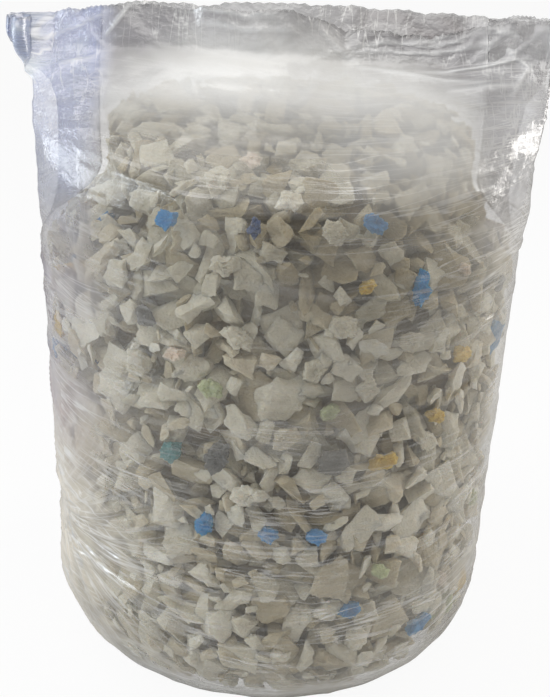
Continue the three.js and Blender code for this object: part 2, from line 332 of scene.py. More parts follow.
# Noises over the film: seed, size of a cell round the film and up it, and how much cells climb to both sides
FILM_NOISES = {
    "lumps": (11, 0.026, 0.024, 0.0),
    "busy": (12, 0.11, 0.10, 0.0),
    "rising lines": (13, 0.120, 0.0105, 0.10),
    "falling lines": (14, 0.070, 0.0080, -0.16),
    "loose waves": (21, 0.044, 0.026, 0.0),
    "loose folds": (22, 0.034, 0.020, 0.5),
    "loose strain": (22, 0.034, 0.030, 0.5),
    "level folds": (23, 0.040, 0.0095, 0.0),
    "ear folds": (24, 0.021, 0.060, 0.3),
    "lip folds": (25, 0.030, 0.013, 0.7),
    "base gathers": (31, 0.021, 0.20, 0.0),
    "haze patches": (51, 0.045, 0.032, 0.0),
    "dome waves": (53, 0.050, 0.50, 0.0),
    "dome fringe": (54, 0.024, 0.016, 0.6),
    "rising facets": (61, 0.060, 0.016, 0.7),
    "falling facets": (62, 0.034, 0.011, -0.5),
    "pleats": (91, 0.05, 0.05, 0.0),
}


def crowded(share, at_start, at_end):
    """Draws columns towards the left mouth corner, which is rolled and needs more of them"""
    if at_start:
        return share - CROWDING * np.sin(math.pi * share) * (1 - share)
    if at_end:
        return share + CROWDING * np.sin(math.pi * share) * share
    return share


class FilmGrid:
    """The film as rows and columns of points, from the middle of the base up to the mouth"""

    def __init__(self, film):
        self.film = film
        self.form = BagForm(film)
        self.columns()
        self.rows()

    def columns(self):
        """Turn on the body, place along the flat film, place at the mouth and gusset share of each column"""
        film, form = self.film, self.form
        quarter = math.pi / 2
        fold = form.fold_turn
        gap = form.half_gap
        panel = film.half_panel
        inner_left, inner_right = form.inner_folds()
        stretches = [
            (-quarter - fold, -quarter + fold, (-panel, -gap), (panel, -gap), 0, 0, FRONT_COLUMNS),
            (-quarter + fold, 0, (panel, -gap), (inner_right, 0), 0, 1, GUSSET_COLUMNS),
            (0, quarter - fold, (inner_right, 0), (panel, gap), 1, 0, GUSSET_COLUMNS),
            (quarter - fold, quarter + fold, (panel, gap), (-panel, gap), 0, 0, BACK_COLUMNS),
            (quarter + fold, 2 * quarter, (-panel, gap), (inner_left, 0), 0, 1, GUSSET_COLUMNS),
            (2 * quarter, 3 * quarter - fold, (inner_left, 0), (-panel, -gap), 1, 0, GUSSET_COLUMNS),
        ]
        turn, flat, tuck, front = [], [], [], []
        for start, end, first, last, tuck_start, tuck_end, count in stretches:
            share = crowded(np.arange(count) / count, first[0] == -panel, last[0] == -panel)
            turn.append(mix(start, end, share))
            flat.append(np.outer(1 - share, first) + np.outer(share, last))
            tuck.append(mix(tuck_start, tuck_end, share))
            front.append(np.full(count, float(first[1] < 0 and last[1] < 0)))
        self.turn = np.concatenate(turn)
        self.flat = np.concatenate(flat)
        self.tuck = np.concatenate(tuck)
        self.front = np.concatenate(front)
        self.along_film = (self.turn + quarter) * film.radius

    def rows(self):
        """Points of the smooth film, before any fold or crease"""
        film, form = self.film, self.form
        base = film.radius - film.base_round
        rings = []
        for row in range(BASE_ROWS):
            radius = base * (row + 1) / (BASE_ROWS + 1)
            rings.append(self.round_ring(radius, 0.0))
        for row in range(ROUND_ROWS):
            rise = math.pi / 2 * row / ROUND_ROWS
            radius = base + film.base_round * math.sin(rise)
            rings.append(self.round_ring(radius, film.base_round * (1 - math.cos(rise))))
        heights = [
            *np.linspace(film.base_round, form.wall_top, WALL_ROWS, endpoint=False),
            *mix(form.lip_bottom, form.wall_top, (1 - np.arange(TENT_ROWS) / TENT_ROWS) ** TENT_CROWDING),
            *np.linspace(form.lip_bottom, film.height, LIP_ROWS),
        ]
        rings.extend(self.section(z) for z in heights)
        self.points = np.array(rings)
        steps = np.linalg.norm(np.diff(self.points, axis=0), axis=2).mean(axis=1)
        path = np.concatenate([[0.0], np.cumsum(steps)])
        self.across = np.broadcast_to(self.along_film, self.points.shape[:2])
        self.along = np.broadcast_to(path[:, None], self.points.shape[:2])
        self.level = self.points[..., 2].copy()

    def round_ring(self, radius, z):
        ring = np.empty((len(self.turn), 3))
        ring[:, 0] = radius * np.cos(self.turn)
        ring[:, 1] = radius * np.sin(self.turn)
        ring[:, 2] = z
        return ring

    def section(self, z):
        form = self.form
        fold = mix(form.spread(z), form.tucked(z), self.tuck)
        ring = np.empty((len(self.turn), 3))
        ring[:, 0] = mix(form.half_width(z) * np.cos(self.turn), self.flat[:, 0], fold)
        ring[:, 1] = mix(self.flat[:, 1], form.half_depth(z) * np.sin(self.turn), form.depth_left(z))
        ring[:, 2] = z
        return ring

    def cells(self, seed, cell_across, cell_along, slope=0.0):
        """Noise over the film, with cells of a size round it and up it"""
        along = self.along - slope * np.abs(self.wrapped(self.across))
        return sheet_noise(self.across, along, seed, cell_across, cell_along, self.form.around)

    def noise(self, name):
        """One of the film's named noises"""
        return self.cells(*FILM_NOISES[name])

    def wrapped(self, across):
        """Distance round the film from the middle of the front, to the left or the right"""
        half = self.form.around / 2
        return (across + half) % (2 * half) - half


# Creases seen on the front film: from a turn and height to a turn and height, in degrees and metres,
# with the width and height of the crease in metres
CREASES = [
    (-86, 0.226, -52, 0.214, 0.0022, 0.0026),
    (-52, 0.214, -24, 0.205, 0.0020, 0.0020),
    (-46, 0.318, -30, 0.296, 0.0020, 0.0022),
    (-84, 0.300, -66, 0.262, 0.0030, 0.0032),
    (-82, 0.268, -62, 0.236, 0.0030, 0.0030),
    (-88, 0.205, -58, 0.172, 0.0024, 0.0026),
    (-40, 0.160, 24, 0.150, 0.0018, 0.0018),
    (-30, 0.118, 40, 0.112, 0.0018, 0.0020),
    (-22, 0.176, 46, 0.184, 0.0018, 0.0016),
    (-56, 0.092, 6, 0.078, 0.0020, 0.0020),
    (18, 0.214, 78, 0.236, 0.0020, 0.0022),
    (30, 0.172, 84, 0.190, 0.0022, 0.0024),
    (36, 0.262, 82, 0.276, 0.0020, 0.0024),
    (28, 0.130, 80, 0.140, 0.0022, 0.0026),
    (44, 0.300, 86, 0.312, 0.0022, 0.0024),
    (-12, 0.236, 32, 0.232, 0.0016, 0.0014),
]

CREASE_HEIGHT = 0.65  # share of the heights above that the film keeps

SHOULDER = 0.0032  # how far the film stands out at both sides of the heap's shoulders

# Creases seen on the lips: from a place across and a height to another, in metres
LIP_CREASES = [
    (0.015, 0.438, 0.045, 0.416),
    (0.040, 0.426, 0.108, 0.439),
    (0.034, 0.424, 0.135, 0.429),
    (0.080, 0.412, 0.155, 0.419),
    (0.045, 0.413, 0.128, 0.404),
    (-0.082, 0.437, -0.005, 0.434),
    (-0.062, 0.431, 0.008, 0.427),
    (-0.118, 0.420, -0.098, 0.442),
    (0.138, 0.424, 0.156, 0.412),
    (0.156, 0.412, 0.140, 0.398),
    (0.060, 0.432, 0.120, 0.434),
    (-0.150, 0.424, -0.118, 0.434),
    (-0.146, 0.405, -0.122, 0.409),
    (0.128, 0.437, 0.150, 0.428),
    (0.100, 0.400, 0.150, 0.404),
]
LIP_CREASE_WIDTH = 0.0013
LIP_CREASE_HEIGHT = 0.0011
# How far creases wander aside, and the noise cells that they wander by
CREASE_WANDER = 0.006
CREASE_CELL = (0.05, 0.30)
LIP_CREASE_WANDER = 0.004
LIP_CREASE_CELL = (0.03, 0.03)

# The pleats gathered at the left side: turn and height of the point they run to, and their size
FAN_TURN = -84.0
FAN_HEIGHT = 0.1045
FAN_REACH = 0.092
FAN_LEAN = -0.15
FAN_SPAN = 1.05
FAN_SPOKES = 22
FAN_PLEAT = 0.0034
FAN_WOBBLE = 3.0
FAN_RISE = (0.003, 0.026)
FAN_STREAK_RISE = (0.003, 0.016)
PINCH_DEPTH = 0.0018
PINCH_REACH = 0.022
# Fine creases climb to both sides of a place right of the middle
CLIMB = 0.12
CLIMB_MIDDLE = 0.03


def from_line(across, up, start, end):
    """Share along a line and distance aside from it, for places across and up"""
    span = np.subtract(end, start)
    length = np.hypot(*span)
    across = across - start[0]
    up = up - start[1]
    return (across * span[0] + up * span[1]) / length ** 2, (up * span[0] - across * span[1]) / length


def tapered(share, power):
    """1 at the middle of a line, falling to 0 at its ends"""
    return np.clip(4 * share * (1 - share), 0, 1) ** power


def crease_height(grid, crease):
    """Height over the film of one long crease that tapers at its ends"""
    start_turn, start_z, end_turn, end_z, width, height = crease
    start = (math.radians(start_turn) * grid.film.radius, start_z)
    end = (math.radians(end_turn) * grid.film.radius, end_z)
    share, aside = from_line(grid.wrapped(grid.across), grid.level, start, end)
    seed = int(abs(start_turn) * 7 + start_z * 900)
    aside = aside + CREASE_WANDER * (grid.cells(seed, *CREASE_CELL) - 0.5)
    return CREASE_HEIGHT * height * tapered(share, 0.6) * bell(aside, 0, width)


def lip_creases(grid):
    """Share from 0 to 1 of the long creases in the front lip"""
    across = np.clip(grid.points[..., 0], -grid.film.half_panel, grid.film.half_panel)
    total = np.zeros_like(across)
    for start_x, start_z, end_x, end_z in LIP_CREASES:
        share, aside = from_line(across, grid.level, (start_x, start_z), (end_x, end_z))
        seed = int(1000 * (start_x + start_z) + 300)
        aside = aside + LIP_CREASE_WANDER * (grid.cells(seed, *LIP_CREASE_CELL) - 0.5)
        total = np.maximum(total, tapered(share, 0.5) * bell(aside, 0, LIP_CREASE_WIDTH))
    return total * grid.front


def flat_place(grid):
    """Place on the flat film: round it, up it, and up it along lines that climb to both sides"""
    climb = grid.along - CLIMB * np.abs(grid.wrapped(grid.across) - CLIMB_MIDDLE)
    return np.stack([grid.across, grid.along, climb], axis=-1)


def around_fan(grid):
    """Distance and direction, as seen from the front, from the point where the film is gathered"""
    turn = grid.wrapped(grid.across) / grid.film.radius
    across = grid.film.radius * (np.sin(turn) - math.sin(math.radians(FAN_TURN)))
    up = grid.level - FAN_HEIGHT
    return np.hypot(across, up), np.arctan2(up, across)


def fan_spread(grid):
    """How strong the pleats are: most to the right of the gathered point and a little below it"""
    distance, angle = around_fan(grid)
    return bell(distance, 0, FAN_REACH) * bell(angle, FAN_LEAN, FAN_SPAN)


def fan_place(grid):
    """Direction and distance from the gathered point"""
    distance, angle = around_fan(grid)
    return np.stack([angle, distance, np.zeros_like(angle)], axis=-1)


def fan_height(grid):
    """Height of the pleats that spread from the gathered point, and depth of the pinch at it"""
    distance, angle = around_fan(grid)
    wobble = FAN_WOBBLE * (grid.noise("pleats") - 0.5)
    pleat = (0.5 + 0.5 * np.cos(FAN_SPOKES * angle + wobble)) ** 2
    rise = smooth_step(distance, *FAN_RISE)
    return FAN_PLEAT * pleat * rise * fan_spread(grid), PINCH_DEPTH * bell(distance, 0, PINCH_REACH)


# Where things on the film begin and end: heights in metres, turns from the middle of the front in degrees,
# and places across in metres
HEIGHTS = {
    "wall": (0.012, 0.05),
    "low lines": (0.12, 0.26),
    "gathers": (0.030, 0.085),
    "base edge": (0.0, 0.006),
    "pulled": (0.17, 0.26),
    "low": (0.015, 0.080),
    "low wall": (0.12, 0.25),
    "slack": (0.12, 0.18),
    "shaded": (0.13, 0.20),
    "rim": (0.21, 0.26),
}
TURNS = {"side": (40, 82), "side end": (100, 150), "rim": (60, 78), "rim end": (92, 110)}
PLACES = {
    "ear folds": (0.11, 0.14),
    "ears": (0.108, 0.130),
    "right": (0.0, 0.06),
    "roll": (0.152, 0.164),
    "rim": (0.150, 0.162),
}
# Heights of folds, and how much calmer they are in the gussets
EAR_FOLD = 0.0013
LIP_FOLD = 0.0014
BASE_GATHER = 0.0009
TUCK_CALM = 0.75
SHOULDER_RISE = 0.006
SHOULDER_WIDTH = 0.030
# How creases and pleats count as strain, and the most strain there is
STRAIN_HEIGHT = 0.0015
LOOSE_STRAIN = 0.8
MOST_STRAIN = 1.4


def tension_lines(grid, side):
    """Fine creases round the body, stronger in patches, low down and at the sides"""
    busy = 0.35 + 0.65 * smooth_step(grid.noise("busy"), 0.35, 0.7)
    low = 1 - smooth_step(grid.level, *HEIGHTS["low lines"])
    lines = ridges(grid.noise("rising lines"), 3.5) + 0.7 * ridges(grid.noise("falling lines"), 4.5)
    return lines * (grid.film.tension * busy * (0.45 + 0.45 * low + 0.4 * side))


def loose_folds(grid):
    """Soft waves and folds of the film that hangs over the heap"""
    crumple = grid.film.crumple
    loose = crumple * (grid.noise("loose waves") - 0.35)
    loose += 0.45 * crumple * ridges(grid.noise("loose folds"), 3.0)
    return loose + 0.6 * crumple * ridges(grid.noise("level folds"), 3.0)


def wrinkle_film(grid):
    """Lifts the film into lumps, creases, pleats and loose folds; gives back how creased each point is"""
    film, form = grid.film, grid.form
    z = grid.level
    wall = smooth_step(z, *HEIGHTS["wall"]) * (1 - form.above_wall(z, "wall end"))
    tent = form.above_wall(z, "tent")
    lip = form.above_lip(z, "lip folds")
    ear = form.above_wall(z, "ear folds") * smooth_step(np.abs(grid.points[..., 0]), *PLACES["ear folds"])
    side = np.abs(np.sin(grid.wrapped(grid.across) / film.radius))
    lines = tension_lines(grid, side)
    creases = sum(crease_height(grid, crease) for crease in CREASES)
    pleats, pinch = fan_height(grid)
    gathers = ridges(grid.noise("base gathers"), 2.0) * (1 - smooth_step(z, *HEIGHTS["gathers"]))
    lift = wall * (film.lump * grid.noise("lumps") + lines + creases + pleats - film.slack) - pinch
    lift = lift + EAR_FOLD * ear * (1 - lip) * ridges(grid.noise("ear folds"), 2.5)
    lift = lift + tent * (1 - lip) * (1 - TUCK_CALM * grid.tuck) * loose_folds(grid)
    lift = lift + BASE_GATHER * gathers * smooth_step(z, *HEIGHTS["base edge"])
    lift = lift + LIP_FOLD * lip * (1 - grid.tuck) * ridges(grid.noise("lip folds"), 1.5)
    lift = lift + LIP_CREASE_HEIGHT * lip_creases(grid)
    shoulder = bell(z, form.wall_top + SHOULDER_RISE, SHOULDER_WIDTH) * side ** 4
    lift = lift + SHOULDER * shoulder * (1 - grid.tuck)
    grid.points = grid.points + outwards(grid.points)[0] * wide(lift)
    grid.points[..., 2] = np.maximum(grid.points[..., 2], FILM_FOOT)
    strain = lines / film.tension + (creases + pleats) / STRAIN_HEIGHT
    strain = strain * wall + tent * LOOSE_STRAIN * ridges(grid.noise("loose strain"), 6.0)
    return np.clip(strain, 0, MOST_STRAIN)


# How the lips hang: the front lip is lower than the back one at the right, the edge is wavy and finely
# toothed, the slit wanders, and the lips lean back from a start below them
DROP_PLACES = (-0.17, 0.0, 0.035, 0.10, 0.14, 0.17)
FRONT_DROPS = (0.0005, 0.0012, 0.0095, 0.0105, 0.004, 0.003)
TOOTH = 0.0004
LEAN_START = 0.020
LEAN_POWER = 1.5
LIP_LEAN = 0.019
LIP_START = 0.045
LIP_PARTING = 0.005
SLIT_WANDER = 0.007
SLIT_SEED = 41
SLIT_CELL = 0.075
EDGE_WAVE = 0.0016
EDGE_NOISES = ((42, 0.009, 1.0), (43, 0.045, 1.5))  # seed, size of a cell and weight
# Height of the mouth's edge over the plain one, from the left corner to the right, in metres
EDGE_PLACES = (-0.178, -0.145, -0.10, 0.0, 0.10, 0.17)
EDGE_RISES = (-0.0140, -0.0075, 0.0002, 0.0018, -0.0004, 0.0000)


def shape_lips(grid):
    """Lets the lips wander, part and end in an uneven edge"""
    film, form = grid.film, grid.form
    points = grid.points
    top = smooth_step(grid.level, form.wall_top + LIP_START, film.height)
    share = np.clip(points[..., 0] / (2 * film.half_panel) + 0.5, 0, 1)
    place = points[..., 0] + film.half_panel
    wander = sheet_noise(place, 0 * place, SLIT_SEED, SLIT_CELL, 1.0, 4 * film.half_panel) - 0.5
    points[..., 1] += 2 * SLIT_WANDER * wander * top
    parting = np.sin(math.pi * share) ** 2 * (1 - grid.tuck)
    apart = np.where(grid.front > 0, -1, 1) * np.where(grid.tuck > 0, 0, 1)
    points[..., 1] += apart * LIP_PARTING * parting * top
    start = form.lip_bottom - LEAN_START
    points[..., 1] += LIP_LEAN * np.clip((grid.level - start) / (film.height - start), 0, 1) ** LEAN_POWER
    points[..., 2] += top * np.interp(points[..., 0], EDGE_PLACES, EDGE_RISES)
    points[..., 2] -= top * grid.front * np.interp(points[..., 0], DROP_PLACES, FRONT_DROPS)
    edge = sum(weight * (sheet_noise(grid.across, 0 * place, seed, cell, 1.0, form.around) - 0.5)
               for seed, cell, weight in EDGE_NOISES)
    edge_rows = smooth_step(grid.level, form.lip_bottom, film.height)
    points[..., 2] += np.minimum(edge * EDGE_WAVE * 2, EDGE_WAVE) * edge_rows
    points[-1, ::2, 2] -= TOOTH
    points[-1, 1::2, 2] += TOOTH


# Both edges of the loose film are drawn in past a line, by a share. At the mouth the left corner is rolled:
# where the roll starts, its radius at the mouth, its height, its turns and how far it leans out
EDGE_LINE = 0.148
EDGE_DRAW = 0.66
RIGHT_DRAW = 0.12
ROLL_START = 0.152
ROLL_RADIUS = 0.0115
ROLL_LEAST = 0.02
ROLL_TIGHTENING = 0.35
ROLL_HEIGHT = 0.050
ROLL_TOP = 0.004
ROLL_TURNS = 1.35
ROLL_LEAN = 0.0160
ROLL_SWELL = 0.75


def roll_corner(grid):
    """Draws the edges in and rolls the left mouth corner into a short scroll that opens towards the mouth"""
    film = grid.film
    points = grid.points
    loose = grid.form.above_wall(grid.level, "drawn edge")
    past = np.maximum(-points[..., 0] - EDGE_LINE, 0)
    points[..., 0] += past * (1 - EDGE_DRAW) * loose
    points[..., 0] -= np.maximum(points[..., 0] - EDGE_LINE, 0) * RIGHT_DRAW * loose
    edge = EDGE_LINE + (film.half_panel - EDGE_LINE) * EDGE_DRAW
    rise = smooth_step(grid.level, film.height - ROLL_HEIGHT, film.height - ROLL_TOP)
    beyond = np.clip((-points[..., 0] - ROLL_START) / (edge - ROLL_START), 0, 1.2)
    angle = 2 * math.pi * ROLL_TURNS * beyond * rise
    radius = ROLL_RADIUS * np.maximum(rise, ROLL_LEAST) * (1 - ROLL_TIGHTENING * beyond)
    out = ROLL_LEAN * rise * smooth_step(beyond, 0, 0.5)
    rolled_x = -mix(ROLL_START, edge, beyond * (1 - rise)) - out
    rolled_x = rolled_x - radius * (np.sin(angle) + ROLL_SWELL * smooth_step(angle, 0, 1.5))
    rolled_y = points[..., 1] - radius * (1 - np.cos(angle))
    share = smooth_step(rise, 0.0, 0.25) * (beyond > 0)
    points[..., 0] = mix(points[..., 0], rolled_x, share)
    points[..., 1] = mix(points[..., 1], rolled_y, share)


def film_faces(rows, columns):
    """Quads between the rows, and a fan over the middle of the base"""
    row, column = np.meshgrid(np.arange(rows - 1), np.arange(columns), indexing="ij")
    following = (column + 1) % columns
    quads = np.stack([row * columns + column, row * columns + following,
                      (row + 1) * columns + following, (row + 1) * columns + column], axis=-1)
    middle = rows * columns
    fan = [[middle, (side + 1) % columns, side] for side in range(columns)]
    return quads.reshape(-1, 4).tolist() + fan


# Regions of the film with a middle and a width: turns in degrees, then a height and a place in metres
TURN_MIDDLES = {
    "pulled": (-78, 34),
    "clear": (5, 40),
    "slack": (-55, 24),
    "shaded": (-70, 26),
    "free": (52, 22),
    "wall edge": (-5, 38),
}
CLEAR_HEIGHT = (0.145, 0.06)
WALL_EDGE_WIDTH = 0.030
# Middle and width across of the patch of loose film that is lightened as painted light
LIT_PLACE = (-0.02, 0.11)
LOOSE_SHIFT = 0.018  # how much lower the loose film starts at the right
# The white of the heap's top ends in a dome: its rise over the foot of the lips, how fast it falls away to
# both sides, its soft edge, and how far that wavers
DOME_RISE = 0.014
DOME_FALL = 2.5
DOME_EDGE = (-0.022, 0.018)
DOME_WAVE = 0.008
DOME_FRINGE = 0.010
RIM_SHARE = 0.8
LOW_RIM = 0.7
CUT_EDGE = (-0.0024, -0.0006)  # the cut edge of the film, from the mouth's height

# How milky the film is: what regions add, and then what takes their place in layers
PATCH_RANGE = (0.38, 0.88)
HAZE_PATCH = 0.27
HAZE_STRAIN = 0.13
HAZE_PLAIN = 0.10
CLEARING = 0.58
WALL_EDGE_CLEARING = 0.25
ADDED_HAZE = {"side": 0.12, "pulled": 0.32, "low": 0.24, "slack": 0.12}
FREE_HAZE = {"plain": 0.09, "right": 0.18}
LAYER_HAZE = {
    # The lit patch is made milkier so that its painted light shows
    "loose": {"plain": 0.42, "patch": 0.16, "lit": 0.32, "right": 0.08},
    # The empty film is made milky so that its painted shade shows
    "empty": {"plain": 0.50, "facets": 0.24, "behind": 0.22},
    "left_ear": {"plain": 0.20, "facets": 0.10, "low_ear": 0.10},
    "rolled": {"plain": 0.30},
    "right_ear": {"inside": 0.05, "outside": 0.38, "facets": 0.16},
    "rim_side": {"plain": 0.44},
}
# The long creases in the lips are milkier: white lines that are partly stress-whitening and partly painted
# highlight
CREASE_HAZE = 0.25
CUT_HAZE = 0.62
BASE_HAZE = 0.2  # at the middle of the base

# The milky colour: how regions lighten and darken it
PULLED_WARMTH = np.array([0.46, 0.37, 0.27])  # how much lighter and warmer the film is where it is gathered
SIDE_SHARE = 0.8
# Painted light: the loose film is whitened in the lit patch, and a little at the right
LOOSE_WHITE = {"lit": 0.27, "right": 0.10}
# Painted shade: the lips are darkened further towards the mouth
LIP_DARKENING = 0.30
LIP_DARK_START = 0.004
# Painted reflection: how bright the bluish sky reflection on the left ear is, weaker low in the ear and
# stronger in the roll
SKY_REFLECTION_STRENGTH = {"plain": 1.0, "low_ear": -0.50, "rolled": 0.2}
# Painted light and shade: facets of the crumpled lips and ears are lighter and darker as if each faced the
# light differently
FACET_LIGHT_AND_SHADE = {"plain": 0.62, "facets": 0.76}
# The lips' creases are whitened, partly as stress-whitening and partly as painted highlight
CREASE_WHITE_AND_HIGHLIGHT = 0.95
CREASE_SHARE = 0.7
MOST_VEIL = 0.97
CUT_DARKENING = 0.55

# How strong the fine creases are, which the film's shader draws as shine and as white lines that are partly
# painted highlights
LINE_SHARES = {"plain": 0.35, "low_wall": 0.55, "side": 0.3}
LOOSE_CALM = 0.55
RIGHT_LINES = 0.45
CRISP_LIP = 0.8
CRISP_INSIDE = {"inside": 0.4, "outside": 1.0}
RIGHT_EAR_CALM = 0.4


def film_regions(grid):
    """Shares of the regions that the film's haze, colour and fine creases follow"""
    film, form = grid.film, grid.form
    z, x = grid.level, grid.points[..., 0]
    turn = np.degrees(grid.wrapped(grid.across) / film.radius)
    aside = np.abs(turn)
    near = {name: bell(aside if name == "free" else turn, *place) for name, place in TURN_MIDDLES.items()}
    above = {name: smooth_step(z, *band) for name, band in HEIGHTS.items()}
    at = SimpleNamespace(plain=1.0, z=z)
    at.inside = (grid.tuck > 0).astype(float)
    at.outside = 1 - at.inside
    at.right = smooth_step(x, *PLACES["right"])
    at.side = smooth_step(aside, *TURNS["side"]) * (1 - smooth_step(aside, *TURNS["side end"]))
    at.pulled = near["pulled"] * (1 - above["pulled"])
    at.low = 1 - above["low"]
    at.low_wall = 1 - above["low wall"]
    at.slack = near["slack"] * above["slack"]
    at.shaded = near["shaded"] * above["shaded"]
    at.clear = near["clear"] * bell(z, *CLEAR_HEIGHT)
    at.free = near["free"] * form.above_wall(z, "free")
    at.wall_edge = near["wall edge"] * bell(z, form.wall_top, WALL_EDGE_WIDTH)
    at.patch = grid.noise("haze patches")
    at.facets = sum(0.5 * ridges(grid.noise(name), 1.0) for name in ("rising facets", "falling facets"))
    at.loose = form.above_wall(z + LOOSE_SHIFT * at.right, "loose")
    at.lit = form.above_lip(z, "lit") * bell(x, *LIT_PLACE)
    # Past the dome the film is empty and takes the lips' dark painted shade
    waver = DOME_WAVE * (grid.noise("dome waves") - 0.5) + DOME_FRINGE * (grid.noise("dome fringe") - 0.5)
    dome = form.lip_bottom + DOME_RISE - DOME_FALL * x ** 2
    at.empty = smooth_step(z + waver - dome, *DOME_EDGE)
    at.lip = form.above_lip(z, "lip")
    at.ear = form.above_wall(z, "ears") * smooth_step(np.abs(x), *PLACES["ears"])
    at.left_ear = at.ear * (1 - at.right)
    at.right_ear = at.ear * at.right
    at.low_ear = 1 - form.above_wall(z, "low ear")
    at.rolled = at.left_ear * smooth_step(-x, *PLACES["roll"])
    at.behind = (1 - grid.front) * at.outside * at.right * at.lip
    rim = smooth_step(x, *PLACES["rim"]) * form.above_wall(z, "rim") * (1 - at.lip)
    at.rim = RIM_SHARE * np.maximum(rim, LOW_RIM * smooth_step(turn, *TURNS["rim"]) * above["rim"])
    at.rim_side = at.rim * (1 - smooth_step(turn, *TURNS["rim end"]))
    at.creased = lip_creases(grid)
    at.cut = smooth_step(z, film.height + CUT_EDGE[0], film.height + CUT_EDGE[1])
    return at


def weighted(at, weights):
    """Sum of some regions' shares, each with its weight"""
    return sum(weight * getattr(at, region) for region, weight in weights.items())


def haze_of(at, strain):
    """How milky the film is at each point"""
    haze = HAZE_PLAIN + HAZE_PATCH * smooth_step(at.patch, *PATCH_RANGE) + HAZE_STRAIN * strain ** 1.5
    haze = haze * (1 - CLEARING * at.clear) + weighted(at, ADDED_HAZE)
    haze = haze + weighted(at, FREE_HAZE) * at.free
    haze = haze * (1 - WALL_EDGE_CLEARING * at.wall_edge)
    for region, weights in LAYER_HAZE.items():
        haze = mix(haze, weighted(at, weights), getattr(at, region))
    return mix(haze + CREASE_HAZE * at.creased, CUT_HAZE, at.cut)


def veil_of(at, grid):
    """The milky colour of the film at each point, with painted light on the lit loose film, painted shade on
    the lips and the empty film, painted light and shade on facets, a painted sky reflection in the left ear
    and crease lines that are partly painted highlights
    """
    film = grid.film
    tone = {name: np.array(getattr(film, name)) for name in film.__annotations__ if name.endswith("veil")}
    veil = mix(tone["veil"], tone["side_veil"], wide(SIDE_SHARE * at.shaded))
    veil = veil * (1 + wide(at.pulled) * PULLED_WARMTH)
    white = tone["loose_veil"] + wide(weighted(at, LOOSE_WHITE))
    grey = mix(tone["lip_veil"], tone["back_veil"], wide(at.behind))
    # Painted shade, darker towards the mouth
    dark = smooth_step(at.z, grid.form.lip_bottom + LIP_DARK_START, film.height)
    grey = grey * wide(1 - LIP_DARKENING * dark)
    cool = tone["cool_veil"] * wide(weighted(at, SKY_REFLECTION_STRENGTH))
    facet_light_and_shade = wide(weighted(at, FACET_LIGHT_AND_SHADE))
    layers = [(white, at.loose), (grey * facet_light_and_shade, at.empty), (cool * facet_light_and_shade, at.left_ear),
              (tone["ear_veil"] * facet_light_and_shade, at.right_ear), (tone["rim_veil"], at.rim)]
    for colour, share in layers:
        veil = mix(veil, colour, wide(share))
    veil = np.clip(mix(veil, CREASE_WHITE_AND_HIGHLIGHT, wide(CREASE_SHARE * at.creased)), 0, MOST_VEIL)
    return veil * (1 - CUT_DARKENING * wide(at.cut))


def lines_of(at, grid):
    """How strong the level, upright and fan creases are at each point; the shader draws them as shine and as
    white lines that are partly painted highlights
    """
    lines = weighted(at, LINE_SHARES) * (1 - LOOSE_CALM * at.loose)
    lines = lines + RIGHT_LINES * at.right * grid.form.above_wall(at.z, "right lines") * (1 - at.lip)
    crisp = np.maximum(at.ear, CRISP_LIP * at.lip) * weighted(at, CRISP_INSIDE)
    crisp = crisp * (1 - RIGHT_EAR_CALM * at.right_ear)
    fan = fan_spread(grid) * smooth_step(around_fan(grid)[0], *FAN_STREAK_RISE)
    return np.stack([np.clip(lines, 0, 1), crisp, fan], axis=-1)


class BAG_OT_make_film(bpy.types.Operator):
    """Makes the clear film with its gussets, creases, pleats, lips and rolled corner"""

    bl_idname = "bag.make_film"
    bl_label = "Make film"

    def execute(self, context):
        film = context.scene.bag_film
        grid = FilmGrid(film)
        strain = wrinkle_film(grid)
        shape_lips(grid)
        roll_corner(grid)
        rows, columns = grid.points.shape[:2]
        middle = np.array([[0.0, 0.0, FILM_FOOT]])
        points = np.concatenate([grid.points.reshape(-1, 3), middle])
        piece = piece_from("clear_film", points, film_faces(rows, columns))
        at = film_regions(grid)
        add_values(piece, "film_haze", np.append(haze_of(at, strain).ravel(), BASE_HAZE))
        vectors = {"film_veil": veil_of(at, grid), "film_lines": lines_of(at, grid),
                   "film_flat": flat_place(grid), "film_fan": fan_place(grid)}
        for name, values in vectors.items():
            values = values.reshape(-1, 3)
            add_values(piece, name, np.concatenate([values, values[:1]]))
        piece.data.materials.append(film_material(film))
        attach(piece, BODY)
        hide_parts("film_bag")
        return {"FINISHED"}


# Flakes

LUMP_KINDS = {
    "chunk": (1.0, 0.84, 0.60),
    "plate": (1.0, 0.78, 0.30),
    "sliver": (1.0, 0.48, 0.34),
    "wedge": (1.0, 0.66, 0.44),
}
LUMPS_EACH = 16
LUMP_CORNERS = 13
LUMP_REACH = (0.72, 1.12)
LUMP_LEVELS = 3
BOXINESS = 0.60
BEND = 0.28
BEND_MIDDLE = 0.06
ROUNDING = 0.11  # for each finer level
TEAR = 0.062
TEAR_SCALE = 4.2
TEAR_OCTAVES = ((1.0, 1.0), (2.6, 0.75), (5.1, 0.60))  # finer by, and weight
TEAR_OFFSET = 40
BITES = 3
BITE_DEPTHS = (0.02, 0.10)
BITE_WIDTH = 0.16


def hull_of(points):
    """Corners and triangles of the convex lump around some points"""
    work = bmesh.new()
    for point in points:
        work.verts.new(point)
    result = bmesh.ops.convex_hull(work, input=work.verts[:])
    loose = {item for item in result["geom_interior"] if isinstance(item, bmesh.types.BMVert)}
    bmesh.ops.delete(work, geom=list(loose), context="VERTS")
    bmesh.ops.triangulate(work, faces=work.faces[:])
    work.verts.index_update()
    corners = np.array([vert.co[:] for vert in work.verts])
    triangles = np.array([[vert.index for vert in face.verts] for face in work.faces])
    work.free()
    return corners, triangles


